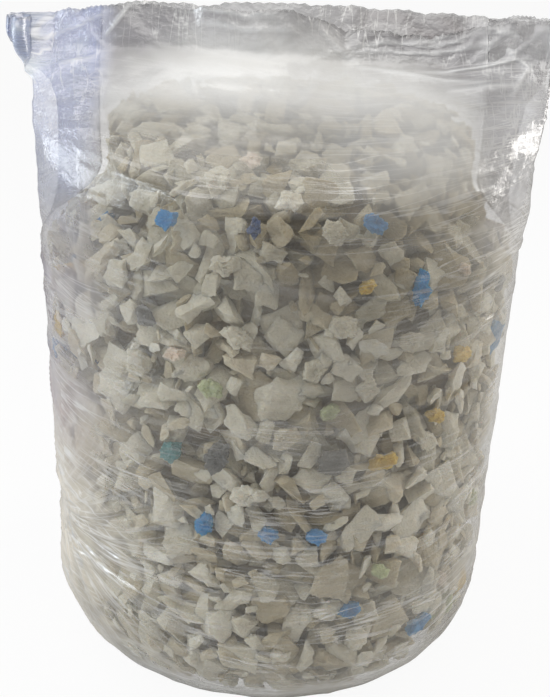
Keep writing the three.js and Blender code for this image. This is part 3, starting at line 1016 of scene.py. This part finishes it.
def split_faces(corners, triangles):
    """Cuts each triangle into four at the middles of its sides"""
    sides = np.sort(triangles[:, [0, 1, 1, 2, 2, 0]].reshape(-1, 2), axis=1)
    unique, back = np.unique(sides, axis=0, return_inverse=True)
    middles = (corners[unique[:, 0]] + corners[unique[:, 1]]) / 2
    a, b, c = triangles.T
    ab, bc, ca = (back.reshape(-1, 3) + len(corners)).T
    parts = [(a, ab, ca), (ab, b, bc), (ca, bc, c), (ab, bc, ca)]
    return np.concatenate([corners, middles]), np.concatenate([np.stack(part, axis=1) for part in parts])


def rounded(corners, triangles, share):
    """Draws each corner some way towards the middle of its neighbours"""
    total = np.zeros_like(corners)
    count = np.zeros(len(corners))
    for first, second in ((0, 1), (1, 2), (2, 0)):
        for near, far in ((first, second), (second, first)):
            np.add.at(total, triangles[:, near], corners[triangles[:, far]])
            np.add.at(count, triangles[:, near], 1)
    return mix(corners, total / count[:, None], share)


def tear_surface(corners, depth, offset):
    """Roughens a lump of unit length as torn foam"""
    torn = corners.copy()
    middle = corners.mean(axis=0)
    for index, corner in enumerate(corners):
        place = Vector(corner) * TEAR_SCALE + Vector(offset)
        push = sum(weight * noise.noise(place * finer) for finer, weight in TEAR_OCTAVES)
        away = corner - middle
        torn[index] += away / max(np.linalg.norm(away), 1e-9) * push * depth
    return torn


def bite(corners, ways, depths):
    """Takes shallow bites out of a lump, so that its outline is not all convex"""
    torn = corners.copy()
    for way, depth in zip(ways, depths):
        way = way / np.linalg.norm(way)
        reach = corners @ way
        near = corners - np.outer(reach, way)
        inside = bell(np.linalg.norm(near, axis=1), 0, BITE_WIDTH) * (reach > 0)
        torn -= np.outer(inside * depth, way)
    return torn


def make_lumps(rng):
    """A store of torn lumps of unit length, each rough, fine and finest"""
    store = []
    for proportions in LUMP_KINDS.values():
        for _ in range(LUMPS_EACH):
            ways = rng.normal(size=(LUMP_CORNERS, 3))
            ways /= np.linalg.norm(ways, axis=1, keepdims=True)
            boxy = np.sign(ways) * np.abs(ways) ** BOXINESS
            points = boxy * 0.5 * rng.uniform(*LUMP_REACH, (LUMP_CORNERS, 1)) * np.array(proportions)
            corners, triangles = hull_of(points)
            offset = rng.uniform(-TEAR_OFFSET, TEAR_OFFSET, 3)
            bend = rng.uniform(-BEND, BEND)
            bites = rng.normal(size=(BITES, 3)) * np.array(proportions)
            depths = rng.uniform(*BITE_DEPTHS, BITES)
            levels = []
            for level in range(LUMP_LEVELS):
                torn = rounded(corners, triangles, ROUNDING * level)
                torn = bite(torn, bites, depths * (level > 0))
                torn = tear_surface(torn, TEAR, offset)
                torn[:, 2] += bend * (torn[:, 0] ** 2 - BEND_MIDDLE)
                levels.append((torn, triangles))
                corners, triangles = split_faces(corners, triangles)
            store.append(levels)
    return store


class Room:
    """Keeps the middles of a layer's flakes apart; their corners can still run into each other"""

    CELL = 0.032

    def __init__(self):
        self.cells = {}

    def near(self, place):
        home = [math.floor(value / self.CELL) for value in place]
        for x in (-1, 0, 1):
            for y in (-1, 0, 1):
                for z in (-1, 0, 1):
                    yield from self.cells.get((home[0] + x, home[1] + y, home[2] + z), ())

    def fits(self, place, radius):
        return all(
            (place[0] - x) ** 2 + (place[1] - y) ** 2 + (place[2] - z) ** 2 >= (radius + other) ** 2
            for x, y, z, other in self.near(place))

    def add(self, place, radius):
        key = tuple(math.floor(value / self.CELL) for value in place)
        self.cells.setdefault(key, []).append((*place, radius))


class HeapSkin:
    """The face of the filling, just inside the film, to scatter flakes on"""

    TURNS = 220
    BASE_RINGS = 8
    ROUND_RINGS = 16
    WALL_RINGS = 90
    FOOT = 0.0006  # its height over the floor, and how far it ends below the heap's top
    SHOULDER_DROP = 0.012  # how far below the top of the wall the heap starts to round off
    ROUND_ACROSS = 8  # how late it rounds off, across and in depth
    ROUND_DEEP = 2.4
    LEAST = 0.002  # its least half width, and the room it leaves under the loose film

    def __init__(self, film, flakes):
        self.form = BagForm(film)
        self.film = film
        self.flakes = flakes
        rings = np.array(self.ring_list())
        turn = np.linspace(0, 2 * math.pi, self.TURNS, endpoint=False)
        points = np.stack([
            rings[:, 0:1] * np.cos(turn) + FOLD_SKEW * self.form.tucked(rings[:, 2:3]),
            rings[:, 1:2] * np.sin(turn), np.repeat(rings[:, 2:3], self.TURNS, axis=1)], axis=-1)
        self.normals, self.area = outwards(points)
        self.points = points - self.normals * film.slack

    def ring_list(self):
        """Half width, half depth and height, from the middle of the base to the top of the heap"""
        film, form = self.film, self.form
        base = film.radius - film.base_round
        shares = np.linspace(0.05, 0.95, self.BASE_RINGS)
        rings = [(base * share, base * share, self.FOOT) for share in shares]
        for rise in np.linspace(0, math.pi / 2, self.ROUND_RINGS, endpoint=False):
            radius = base + film.base_round * math.sin(rise)
            rings.append((radius, radius, film.base_round * (1 - math.cos(rise)) + self.FOOT))
        top = self.flakes.heap_top
        shoulder = form.wall_top - self.SHOULDER_DROP
        for z in np.linspace(film.base_round, top - self.FOOT, self.WALL_RINGS):
            over = max(0.0, (z - shoulder) / (top - shoulder))
            half_x = min(float(form.half_width(z)), float(form.fold_x(z)))
            half_x = half_x * math.sqrt(1 - over ** self.ROUND_ACROSS)
            half_y = float(form.half_depth(z)) * math.sqrt(1 - over ** self.ROUND_DEEP)
            half_y = min(half_y, float(form.film_depth(z)) - self.LEAST)
            rings.append((max(half_x, self.LEAST), max(half_y, self.LEAST), z))
        return rings

    def pick(self, rng, count):
        """Random places on the skin, evenly by area, with their outward directions"""
        share = self.area.ravel() / self.area.sum()
        chosen = rng.choice(share.size, count, p=share)
        return self.points.reshape(-1, 3)[chosen], self.normals.reshape(-1, 3)[chosen]


# Layers of flakes under the film: depth of their middles in metres, how far they tilt, how much room they
# keep, and the range of their tone, which is darker for flakes that lie deeper as painted shade
LAYERS = [
    {"depth": None, "tilt": 0.50, "spacing": 0.305, "tone_and_shade": (0.45, 0.90)},
    {"depth": (0.009, 0.015), "tilt": 1.2, "spacing": 0.295, "tone_and_shade": (0.25, 0.62)},
    {"depth": (0.018, 0.024), "tilt": 1.4, "spacing": 0.295, "tone_and_shade": (0.12, 0.42)},
]
# Sizes of flakes: how long they are, and for each layer how often one is tried and how fine it is
SIZES = [
    {"length": (0.030, 0.046), "tries": (420, 600, 700), "detail": (2, 1, 1)},
    {"length": (0.020, 0.030), "tries": (5000, 4800, 4200), "detail": (2, 1, 0)},
    {"length": (0.013, 0.020), "tries": (4600, 6000, 6000), "detail": (1, 0, 0)},
    {"length": (0.007, 0.012), "tries": (1200, 3000, 2000), "detail": (1, 0, 0)},
]
# The outer layer leaves hollows, where a noise with cells of about this size is below a level
HOLLOW_CELL = 0.034
HOLLOW_LEVEL = -0.20
# Flakes are lighter and darker in clusters of about this size
CLUSTER_CELL = 0.042
CLUSTER_TINT = 0.55
# Painted shade: flakes near the top of the heap are darkened to offset the strong lamp there
TOP_SHADE = 0.60  # how much darker they are near the top, where the lamp is strong
PALE_MIX = {"white": 0.72, "cream": 0.28}
WARM_MIX = {"white": 0.40, "cream": 0.60}
FULL_MIX = {"white": 0.655, "cream": 0.255, "grey": 0.025, "blue": 0.02, "navy": 0.005, "teal": 0.005,
            "yellow": 0.015, "green": 0.01, "pink": 0.01}
FRONT_TURN = 62.0
PALE_TOP = 0.325
STRETCH = (0.85, 1.15)  # range by which a flake is stretched along each axis
SINK = 0.0012  # how far outer flakes lie in from the film on average
SHADE_HEIGHTS = (0.26, 0.32)  # between which the darkening near the top comes on
SHARP_ANGLE = math.radians(60)  # edges of flakes sharper than this stay sharp


def turned_flat(rng, outward, tilt):
    """A turn that lays a lump's thin side towards a direction, with some tilt"""
    lean = Vector(rng.normal(size=3)) * tilt * rng.uniform(0.1, 1.0)
    face = (Vector(outward) + lean).normalized()
    spin = Euler((0, 0, rng.uniform(0, 2 * math.pi))).to_matrix()
    return np.array(face.to_track_quat("Z", "Y").to_matrix() @ spin)


def in_hollow(place):
    """Whether the outer layer is left open at a place"""
    return noise.noise(Vector(place) / HOLLOW_CELL) < HOLLOW_LEVEL


def flake_colour(rng, place, layer):
    """White and cream at the front and top, where the coloured flakes have their own places, else mixed"""
    turn = math.degrees(math.atan2(place[0], -place[1]))
    shares = FULL_MIX
    if abs(turn) < FRONT_TURN or place[2] > PALE_TOP:
        shares = WARM_MIX if layer else PALE_MIX
    return rng.choice(list(shares), p=np.array(list(shares.values())) / sum(shares.values()))


class FlakePile:
    """Collects flakes into one mesh for each colour"""

    def __init__(self):
        self.parts = {}

    def add(self, group, points, triangles, tone_and_shade):
        self.parts.setdefault(group, []).append((points, triangles, tone_and_shade))

    def mesh(self, group):
        points, triangles, tones_and_shades, count = [], [], [], 0
        for part_points, part_triangles, tone_and_shade in self.parts[group]:
            points.append(part_points)
            triangles.append(part_triangles + count)
            tones_and_shades.append(np.full(len(part_points), tone_and_shade))
            count += len(part_points)
        return np.concatenate(points), np.concatenate(triangles), np.concatenate(tones_and_shades)


def node_flakes():
    """The frame's own flakes, as {colour: [(node name, object), ...]}"""
    found = {}
    for name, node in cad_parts.items():
        if "_flake_" in name:
            found.setdefault(name.split("_")[0], []).append((name, node))
    return found


# Flakes in the places of the frame's own ones: how often their faces are split, how round, bitten and torn
# they are, their size beside the frame's, the range of their tint and the room they keep
NODE_SPLITS = 3
NODE_ROUNDING = 0.2
NODE_BITES = (0.03, 0.13)
NODE_TEAR = 1.5 * TEAR
NODE_SIZE = 0.97
NODE_TINT = (0.25, 0.9)
NODE_ROOM = 0.34


def add_node_flakes(pile, room, rng, skin, flakes):
    """Torn flakes in the places of the frame's own flakes"""
    for colour, nodes in sorted(node_flakes().items()):
        for _, node in sorted(nodes):
            corners, triangles = hull_of([vert.co for vert in node.data.vertices])
            for _ in range(NODE_SPLITS):
                corners, triangles = split_faces(corners, triangles)
            middle = corners.mean(axis=0)
            size = float(np.ptp(corners, axis=0).max())
            torn = rounded((corners - middle) / size, triangles, NODE_ROUNDING)
            torn = bite(torn, rng.normal(size=(BITES, 3)), rng.uniform(*NODE_BITES, BITES))
            offset = rng.uniform(-TEAR_OFFSET, TEAR_OFFSET, 3)
            torn = tear_surface(torn, NODE_TEAR, offset) * size * NODE_SIZE
            inward = -middle * np.array([1, 1, 0]) / np.linalg.norm(middle[:2])
            middle = middle + inward * max(0.0, skin.form.overshoot(torn + middle) + flakes.film_gap)
            pile.add(colour, torn + middle, triangles, rng.uniform(*NODE_TINT))
            room.add(middle, NODE_ROOM * size)


WHITE_BANDS = (0.14, 0.27)


def group_of(colour, z):
    """White flakes are so many that they are kept in three groups by height"""
    if colour != "white":
        return colour
    return "white_" + ("lower", "middle", "upper")[int(np.searchsorted(WHITE_BANDS, z))]


def add_loose_flakes(pile, room, rng, skin, flakes):
    """Flakes scattered in layers under the film, the large ones first"""
    lumps = make_lumps(rng)
    for layer, setting in enumerate(LAYERS):
        if layer:
            room = Room()
        for size in SIZES:
            places, outwards = skin.pick(rng, size["tries"][layer])
            for place, outward in zip(places, outwards):
                if layer == 0 and in_hollow(place):
                    continue
                length = rng.uniform(*size["length"])
                levels = lumps[rng.integers(len(lumps))]
                turn = turned_flat(rng, outward, setting["tilt"])
                stretch = length * rng.uniform(*STRETCH, 3)
                corners = (levels[size["detail"][layer]][0] * stretch) @ turn.T
                if setting["depth"] is None:
                    depth = (corners @ outward).max() + flakes.film_gap + rng.exponential(SINK)
                else:
                    depth = rng.uniform(*setting["depth"])
                middle = place - outward * depth
                middle = middle - outward * max(0.0, skin.form.overshoot(corners + middle) + flakes.film_gap)
                if not room.fits(middle, setting["spacing"] * length):
                    continue
                room.add(middle, setting["spacing"] * length)
                group = group_of(flake_colour(rng, place, layer), middle[2])
                # The tone differs at random and in clusters, and is darker in deeper layers and near the top
                # as painted shade
                tone_and_shade = rng.uniform(*setting["tone_and_shade"])
                tone_and_shade = tone_and_shade + CLUSTER_TINT * noise.noise(Vector(place) / CLUSTER_CELL)
                tone_and_shade = tone_and_shade - TOP_SHADE * smooth_step(place[2], *SHADE_HEIGHTS)
                pile.add(group, corners + middle, levels[size["detail"][layer]][1], tone_and_shade)


class BAG_OT_make_flakes(bpy.types.Operator):
    """Makes the foam flakes that show through the film, one piece for each colour"""

    bl_idname = "bag.make_flakes"
    bl_label = "Make flakes"

    def execute(self, context):
        flakes = context.scene.bag_flakes
        rng = np.random.default_rng(flakes.seed)
        pile, room = FlakePile(), Room()
        skin = HeapSkin(context.scene.bag_film, flakes)
        add_node_flakes(pile, room, rng, skin, flakes)
        add_loose_flakes(pile, room, rng, skin, flakes)
        nodes = node_flakes()
        for group in sorted(pile.parts):
            colour = group.split("_")[0]
            points, triangles, tones_and_shades = pile.mesh(group)
            piece = piece_from(f"{group}_flakes", points, triangles)
            piece.data.set_sharp_from_angle(angle=SHARP_ANGLE)
            add_values(piece, "flake_tint", tones_and_shades)
            piece.data.materials.append(foam_material(colour, getattr(flakes, colour)))
            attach(piece, BODY)
            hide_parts("packed_flakes", *[name for name, _ in nodes.get(group, [])])
        return {"FINISHED"}


# The core's roughness and the size of its bumps, its tint, and the rows of the skin that it is made of
CORE_ROUGH = 0.006
CORE_BUMPS = 60
CORE_TINT = 0.4
CORE_ROWS = slice(4, -3)


class BAG_OT_make_core(bpy.types.Operator):
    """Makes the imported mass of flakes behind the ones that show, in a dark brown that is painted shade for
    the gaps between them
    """

    bl_idname = "bag.make_core"
    bl_label = "Make core"

    def execute(self, context):
        flakes = context.scene.bag_flakes
        skin = HeapSkin(context.scene.bag_film, flakes)
        inside = (skin.points - skin.normals * flakes.core_depth).reshape(-1, 3)
        for index, (point, normal) in enumerate(zip(inside, skin.normals.reshape(-1, 3))):
            inside[index] = point + normal * noise.noise(Vector(point) * CORE_BUMPS) * CORE_ROUGH
        points = inside.reshape(skin.points.shape)[CORE_ROWS]
        rows, columns = points.shape[:2]
        faces = film_faces(rows, columns)
        top = (rows - 1) * columns
        last = rows * columns + 1
        faces += [[last, top + side, top + (side + 1) % columns] for side in range(columns)]
        caps = [points[0].mean(axis=0), points[-1].mean(axis=0)]
        piece = piece_from("packed_core", np.concatenate([points.reshape(-1, 3), caps]), faces)
        add_values(piece, "flake_tint", np.full(len(piece.data.vertices), CORE_TINT))
        piece.data.materials.append(foam_material("core", flakes.core))
        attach(piece, BODY)
        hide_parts("packed_flakes")
        return {"FINISHED"}


# Materials

def add_node(tree, kind, inputs, **settings):
    """A node with its settings, and its inputs set to values or linked to sockets"""
    node = tree.nodes.new(kind)
    for name, value in settings.items():
        setattr(node, name, value)
    for key, value in inputs.items():
        if isinstance(value, bpy.types.NodeSocket):
            tree.links.new(value, node.inputs[key])
        else:
            node.inputs[key].default_value = value
    return node


def math_node(tree, operation, first, second):
    """A Math node; each input is a number or a socket"""
    return add_node(tree, "ShaderNodeMath", {0: first, 1: second}, operation=operation).outputs[0]


def product(tree, first, second):
    return math_node(tree, "MULTIPLY", first, second)


def plus(tree, base, value, share):
    """A base with a share of a value added"""
    return math_node(tree, "ADD", base, product(tree, value, share))


def noise_node(tree, place, scale, detail):
    inputs = {"Scale": scale, "Detail": detail, "Vector": place}
    return add_node(tree, "ShaderNodeTexNoise", inputs).outputs["Fac"]


def ramp_node(tree, value, low, high, kind="LINEAR"):
    """A value stretched so that low gives 0 and high gives 1"""
    inputs = {"From Min": low, "From Max": high, "Value": value}
    return add_node(tree, "ShaderNodeMapRange", inputs, interpolation_type=kind).outputs["Result"]


def attribute(tree, name):
    """The outputs of a node that reads a piece's own values"""
    return add_node(tree, "ShaderNodeAttribute", {}, attribute_name=name).outputs


def mix_shaders(tree, share, first, second):
    return add_node(tree, "ShaderNodeMixShader", {0: share, 1: first, 2: second}).outputs[0]


def new_material(name):
    material = bpy.data.materials.new(name)
    material.use_nodes = True
    material.node_tree.nodes.clear()
    return material, material.node_tree


# Foam: noises as scale and octaves, the size of its cells, and how deep each of them is
MOTTLE = (170.0, 2.0)
GRAIN = (480.0, 2.0)
CRUMB = (210.0, 1.0)
CELL_SCALE = 620.0
CELL_DEPTH = 0.6
CRUMB_DEPTH = 0.7
# How far from each open cell's pit its painted shade reaches
PORE_EDGE = 0.35


def foam_cells_group():
    """Shared foam surface: colour that differs from flake to flake, at random and as painted shade on deeper
    flakes and those near the top, mottling with painted shade in the open cells, and the height of open cells
    """
    name = "Foam cells"
    if name in bpy.data.node_groups:
        return bpy.data.node_groups[name]
    tree = bpy.data.node_groups.new(name, "ShaderNodeTree")
    tree.interface.new_socket("Colour", in_out="INPUT", socket_type="NodeSocketColor")
    tree.interface.new_socket("Colour", in_out="OUTPUT", socket_type="NodeSocketColor")
    tree.interface.new_socket("Cells", in_out="OUTPUT", socket_type="NodeSocketFloat")
    inside = tree.nodes.new("NodeGroupInput")
    place = tree.nodes.new("ShaderNodeTexCoord").outputs["Object"]
    tone_and_shade = attribute(tree, "flake_tint")["Fac"]
    voronoi = add_node(tree, "ShaderNodeTexVoronoi", {"Scale": CELL_SCALE, "Vector": place})
    cells = voronoi.outputs["Distance"]
    height = plus(tree, noise_node(tree, place, *GRAIN), cells, CELL_DEPTH)
    height = plus(tree, height, noise_node(tree, place, *CRUMB), CRUMB_DEPTH)
    shade = plus(tree, 0.60, noise_node(tree, place, *MOTTLE), 0.30)
    shade = plus(tree, shade, tone_and_shade, 0.45)
    # Painted shade: each open cell is darker towards its pit
    shade = product(tree, shade, plus(tree, 0.80, ramp_node(tree, cells, 0.0, PORE_EDGE), 0.20))
    # Lower tones, whether random or painted shade, are also more saturated
    warmth = plus(tree, 1.22, tone_and_shade, -0.4)
    colour = add_node(tree, "ShaderNodeHueSaturation", {
        "Color": inside.outputs["Colour"], "Value": shade, "Saturation": warmth})
    add_node(tree, "NodeGroupOutput", {"Colour": colour.outputs["Color"], "Cells": height})
    return tree


def foam_material(name, colour):
    """Open-celled foam of one colour"""
    material, tree = new_material(f"{name}_foam")
    cells = add_node(tree, "ShaderNodeGroup", {"Colour": (*colour, 1.0)}, node_tree=foam_cells_group())
    bump = add_node(tree, "ShaderNodeBump", {
        "Strength": 0.60, "Distance": 0.0013, "Height": cells.outputs["Cells"]})
    surface = add_node(tree, "ShaderNodeBsdfPrincipled", {
        "Roughness": 0.95,
        "Specular IOR Level": 0.15,
        "Subsurface Weight": 0.5,
        "Subsurface Radius": (1.0, 0.85, 0.65),
        "Subsurface Scale": 0.0048,
        "Base Color": cells.outputs["Colour"],
        "Normal": bump.outputs["Normal"]})
    add_node(tree, "ShaderNodeOutputMaterial", {"Surface": surface.outputs["BSDF"]})
    return material


# Noises of the film's fine creases: size of a cell round the film, up it and along climbing lines, and
# octaves. That of the spokes has its cells round the gathered point and away from it
STREAK_NOISES = {
    "patches": ((0.060, 0.035, 0.0), 2.0),
    "level": ((0.170, 0.0068, 0.0), 1.0),
    "climbing": ((0.095, 0.0, 0.0058), 1.5),
    "upright": ((0.0085, 0.050, 0.0), 2.0),
    "spokes": ((0.070, 0.090, 0.0), 1.5),
    "crumple": ((0.012, 0.010, 0.0), 4.0),
    "bent": ((0.010, 0.008, 0.0), 2.0),
    "crinkle": ((0.0050, 0.0040, 0.0), 3.0),
}
LINE_WIDTHS = {"level": 0.022, "climbing": 0.024, "upright": 0.028, "spokes": 0.045}
PATCH_EDGES = (0.32, 0.68)
# The net of creases in the lips and ears: size of its meshes, how they are bent, their width and strength
NET_CELL = (0.019, 0.010, 0.0)
NET_BEND = {"X": 0.7, "Y": 0.5}
NET_WIDTH = 0.045
NET_SHARE = 0.5
CRINKLE_HEIGHT = 1.5


def stretched(tree, source, cell):
    """Coordinates scaled so that a noise has cells of this size along each axis; 0 leaves an axis out"""
    scale = [1 / size if size else 0.0 for size in cell]
    return add_node(tree, "ShaderNodeMapping", {"Scale": scale, "Vector": source}).outputs["Vector"]


def thin_lines(tree, value, width):
    """Bright thin lines where a smooth value crosses its middle"""
    aside = math_node(tree, "ABSOLUTE", math_node(tree, "SUBTRACT", value, 0.5), 0.0)
    return ramp_node(tree, aside, width, 0.0, "SMOOTHSTEP")


def crease_net(tree, flat, bent):
    """Bright lines between the cells of a bent net"""
    bends = {axis: product(tree, bent, share) for axis, share in NET_BEND.items()}
    lean = add_node(tree, "ShaderNodeCombineXYZ", bends)
    place = add_node(tree, "ShaderNodeVectorMath", {
        0: stretched(tree, flat, NET_CELL), 1: lean.outputs["Vector"]})
    inputs = {"Scale": 1.0, "Vector": place.outputs["Vector"]}
    net = add_node(tree, "ShaderNodeTexVoronoi", inputs, feature="DISTANCE_TO_EDGE")
    return ramp_node(tree, net.outputs["Distance"], NET_WIDTH, 0.0)


def film_streaks(tree, flat, fan, strength):
    """Mask of the film's fine bright creases, drawn as white lines that are partly painted highlights, the
    height of its fine crumpling, and where it hangs loose
    """
    share = add_node(tree, "ShaderNodeSeparateXYZ", {"Vector": strength}).outputs
    noises = {}
    for name, (cell, detail) in STREAK_NOISES.items():
        place = stretched(tree, fan if name == "spokes" else flat, cell)
        noises[name] = noise_node(tree, place, 1.0, detail)
    thin = {name: thin_lines(tree, noises[name], width) for name, width in LINE_WIDTHS.items()}
    patches = ramp_node(tree, noises["patches"], *PATCH_EDGES)
    on_body = product(tree, patches, share["X"])
    on_lips = product(tree, patches, share["Y"])
    lines = product(tree, math_node(tree, "MAXIMUM", thin["level"], thin["climbing"]), on_body)
    network = product(tree, crease_net(tree, flat, noises["bent"]), on_lips)
    upright = product(tree, thin["upright"], on_lips)
    upright = math_node(tree, "MAXIMUM", upright, product(tree, network, NET_SHARE))
    spokes = product(tree, thin["spokes"], share["Z"])
    streaks = math_node(tree, "MAXIMUM", math_node(tree, "MAXIMUM", lines, upright), spokes)
    crinkle = product(tree, noises["crinkle"], product(tree, share["Y"], CRINKLE_HEIGHT))
    return streaks, math_node(tree, "ADD", noises["crumple"], crinkle), share["Y"]


# The film's shader: how much edges, streaks and loose parts add to its milkiness and its shine; the streaks'
# milkiness is white lines that are partly stress-whitening and partly painted highlight
STREAK_HIGHLIGHT_WHITE = (0.92, 0.91, 0.89, 1.0)
EDGE_POWER = 3.0
EDGE_MILK = 0.22
STREAK_MILK = 0.36
PLAIN_SHINE = 0.06
EDGE_SHINE = 0.45
STREAK_SHINE = 0.26
LOOSE_SHINE = 0.04


def film_material(film):
    """Clear film: mostly see-through, milky in creases and loose layers, with a wrinkled shine and white
    crease lines that are partly painted highlights
    """
    material, tree = new_material("clear_film")
    vectors = [attribute(tree, name)["Vector"] for name in ("film_flat", "film_fan", "film_lines")]
    streaks, crumple, loose = film_streaks(tree, *vectors)
    bump = add_node(tree, "ShaderNodeBump", {"Strength": 0.55, "Distance": 0.0012, "Height": crumple})
    normal = bump.outputs["Normal"]
    veil_with_highlights = add_node(tree, "ShaderNodeMix", {
        "Factor": streaks, "A": attribute(tree, "film_veil")["Color"], "B": STREAK_HIGHLIGHT_WHITE}, data_type="RGBA")
    veil = add_node(tree, "ShaderNodeBsdfPrincipled", {
        "Roughness": 0.45, "Base Color": veil_with_highlights.outputs["Result"], "Normal": normal})
    clear = add_node(tree, "ShaderNodeBsdfTransparent", {"Color": (*film.clear_tint, 1.0)})
    shine = add_node(tree, "ShaderNodeBsdfGlossy", {"Roughness": film.gloss, "Normal": normal})
    shade = add_node(tree, "ShaderNodeBsdfTransparent", {"Color": (*film.shade_tint, 1.0)})
    facing = add_node(tree, "ShaderNodeLayerWeight", {"Blend": 0.5})
    edge = math_node(tree, "POWER", facing.outputs["Facing"], EDGE_POWER)
    milky = plus(tree, attribute(tree, "film_haze")["Fac"], edge, EDGE_MILK)
    milky = plus(tree, milky, streaks, STREAK_MILK)
    mirror = plus(tree, PLAIN_SHINE, edge, EDGE_SHINE)
    mirror = plus(tree, mirror, streaks, STREAK_SHINE)
    mirror = plus(tree, mirror, loose, LOOSE_SHINE)
    body = mix_shaders(tree, milky, clear.outputs["BSDF"], veil.outputs["BSDF"])
    whole = mix_shaders(tree, mirror, body, shine.outputs["BSDF"])
    path = tree.nodes.new("ShaderNodeLightPath")
    seen = mix_shaders(tree, path.outputs["Is Shadow Ray"], whole, shade.outputs["BSDF"])
    add_node(tree, "ShaderNodeOutputMaterial", {"Surface": seen})
    return material


FLOOR_GLOW = 0.93  # share of the floor that the camera sees as plain white


def floor_material(colour):
    """Pale floor that looks white behind the bag and keeps its shadow"""
    material, tree = new_material("pale_floor")
    surface = add_node(tree, "ShaderNodeBsdfPrincipled", {"Base Color": (*colour, 1.0), "Roughness": 0.8})
    glow = add_node(tree, "ShaderNodeEmission", {"Strength": 1.0})
    path = tree.nodes.new("ShaderNodeLightPath")
    share = product(tree, path.outputs["Is Camera Ray"], FLOOR_GLOW)
    whole = mix_shaders(tree, share, surface.outputs["BSDF"], glow.outputs["Emission"])
    add_node(tree, "ShaderNodeOutputMaterial", {"Surface": whole})
    return material


# Stage

FLOOR_HALF = 8.0
LAMP_TARGET = (0, 0, 0.25)
LAMPS = {
    "overhead": {"size": (1.4, 1.0), "place": (-0.15, -0.12, 1.60), "colour": (1.0, 0.985, 0.96)},
    "window": {"size": (0.9, 1.2), "place": (-1.35, -0.35, 0.85), "colour": (0.88, 0.94, 1.0)},
    "rim": {"size": (0.5, 1.2), "place": (1.25, 0.30, 0.80), "colour": (1.0, 0.97, 0.93)},
}


def add_lamp(name, power, size, place, colour):
    """An area lamp that looks at the bag"""
    lamp = bpy.data.lights.new(name, "AREA")
    lamp.shape = "RECTANGLE"
    lamp.size, lamp.size_y = size
    lamp.energy = power
    lamp.color = colour
    item = bpy.data.objects.new(name, lamp)
    bpy.context.scene.collection.objects.link(item)
    item.location = place
    item.rotation_euler = (Vector(LAMP_TARGET) - Vector(place)).to_track_quat("-Z", "Y").to_euler()


def add_camera(stage, film):
    """A camera at the photograph's angle, with its lean and its framing"""
    camera = bpy.data.cameras.new("camera")
    long_side = max(PHOTO_WIDTH, PHOTO_HEIGHT)
    camera.lens = stage.focal_pixels / long_side * camera.sensor_width
    camera.shift_x = (PHOTO_WIDTH / 2 - stage.centre_x) / long_side
    camera.shift_y = (stage.centre_y - PHOTO_HEIGHT / 2) / long_side
    item = bpy.data.objects.new("camera", camera)
    bpy.context.scene.collection.objects.link(item)
    place = Vector((0, -stage.camera_distance, stage.camera_height))
    ahead = (Vector((0, 0, film.height / 2)) - place).normalized()
    facing = ahead.to_track_quat("-Z", "Y").to_matrix() @ Matrix.Rotation(stage.roll, 3, "Z")
    item.matrix_world = Matrix.Translation(place) @ facing.to_4x4()
    bpy.context.scene.camera = item


def add_world(stage):
    """Even light from all round, which the camera sees as white"""
    world = bpy.data.worlds.new("studio")
    bpy.context.scene.world = world
    world.use_nodes = True
    tree = world.node_tree
    tree.nodes.clear()
    around = add_node(tree, "ShaderNodeBackground", {
        "Color": (1.0, 0.985, 0.955, 1.0), "Strength": stage.ambient})
    seen = add_node(tree, "ShaderNodeBackground", {"Color": (1.0, 1.0, 1.0, 1.0)})
    path = tree.nodes.new("ShaderNodeLightPath")
    whole = mix_shaders(
        tree, path.outputs["Is Camera Ray"], around.outputs["Background"], seen.outputs["Background"])
    add_node(tree, "ShaderNodeOutputWorld", {"Surface": whole})


class BAG_OT_make_stage(bpy.types.Operator):
    """Makes the floor, the camera and the lamps"""

    bl_idname = "bag.make_stage"
    bl_label = "Make stage"

    def execute(self, context):
        stage = context.scene.bag_stage
        half = FLOOR_HALF
        corners = np.array([[-half, -half, 0], [half, -half, 0], [half, half, 0], [-half, half, 0]])
        floor = piece_from("floor", corners, [[0, 1, 2, 3]])
        floor.data.materials.append(floor_material(stage.floor))
        add_camera(stage, context.scene.bag_film)
        for name, lamp in LAMPS.items():
            add_lamp(name, getattr(stage, name), **lamp)
        add_world(stage)
        context.scene.view_settings.view_transform = "Standard"
        return {"FINISHED"}


class BAG_PT_panel(bpy.types.Panel):
    """Lists the steps that build the bag"""

    bl_label = "Foam bag"
    bl_idname = "BAG_PT_panel"
    bl_space_type = "VIEW_3D"
    bl_region_type = "UI"
    bl_category = "Foam bag"

    def draw(self, context):
        for operator in OPERATORS:
            self.layout.operator(operator.bl_idname)
        for settings in (context.scene.bag_film, context.scene.bag_flakes, context.scene.bag_stage):
            box = self.layout.box()
            for name in settings.__annotations__:
                box.prop(settings, name)


SETTINGS = {"bag_film": FilmSettings, "bag_flakes": FlakeSettings, "bag_stage": StageSettings}
OPERATORS = (BAG_OT_make_stage, BAG_OT_make_core, BAG_OT_make_flakes, BAG_OT_make_film)


def register():
    for kind in (*SETTINGS.values(), *OPERATORS, BAG_PT_panel):
        bpy.utils.register_class(kind)
    for name, kind in SETTINGS.items():
        setattr(bpy.types.Scene, name, PointerProperty(type=kind))


def unregister():
    for name in SETTINGS:
        delattr(bpy.types.Scene, name)
    for kind in (BAG_PT_panel, *OPERATORS, *SETTINGS.values()):
        bpy.utils.unregister_class(kind)


def main():
    register()
    bpy.ops.bag.make_stage()
    bpy.ops.bag.make_core()
    bpy.ops.bag.make_flakes()
    bpy.ops.bag.make_film()


if __name__ == "__main__":
    main()
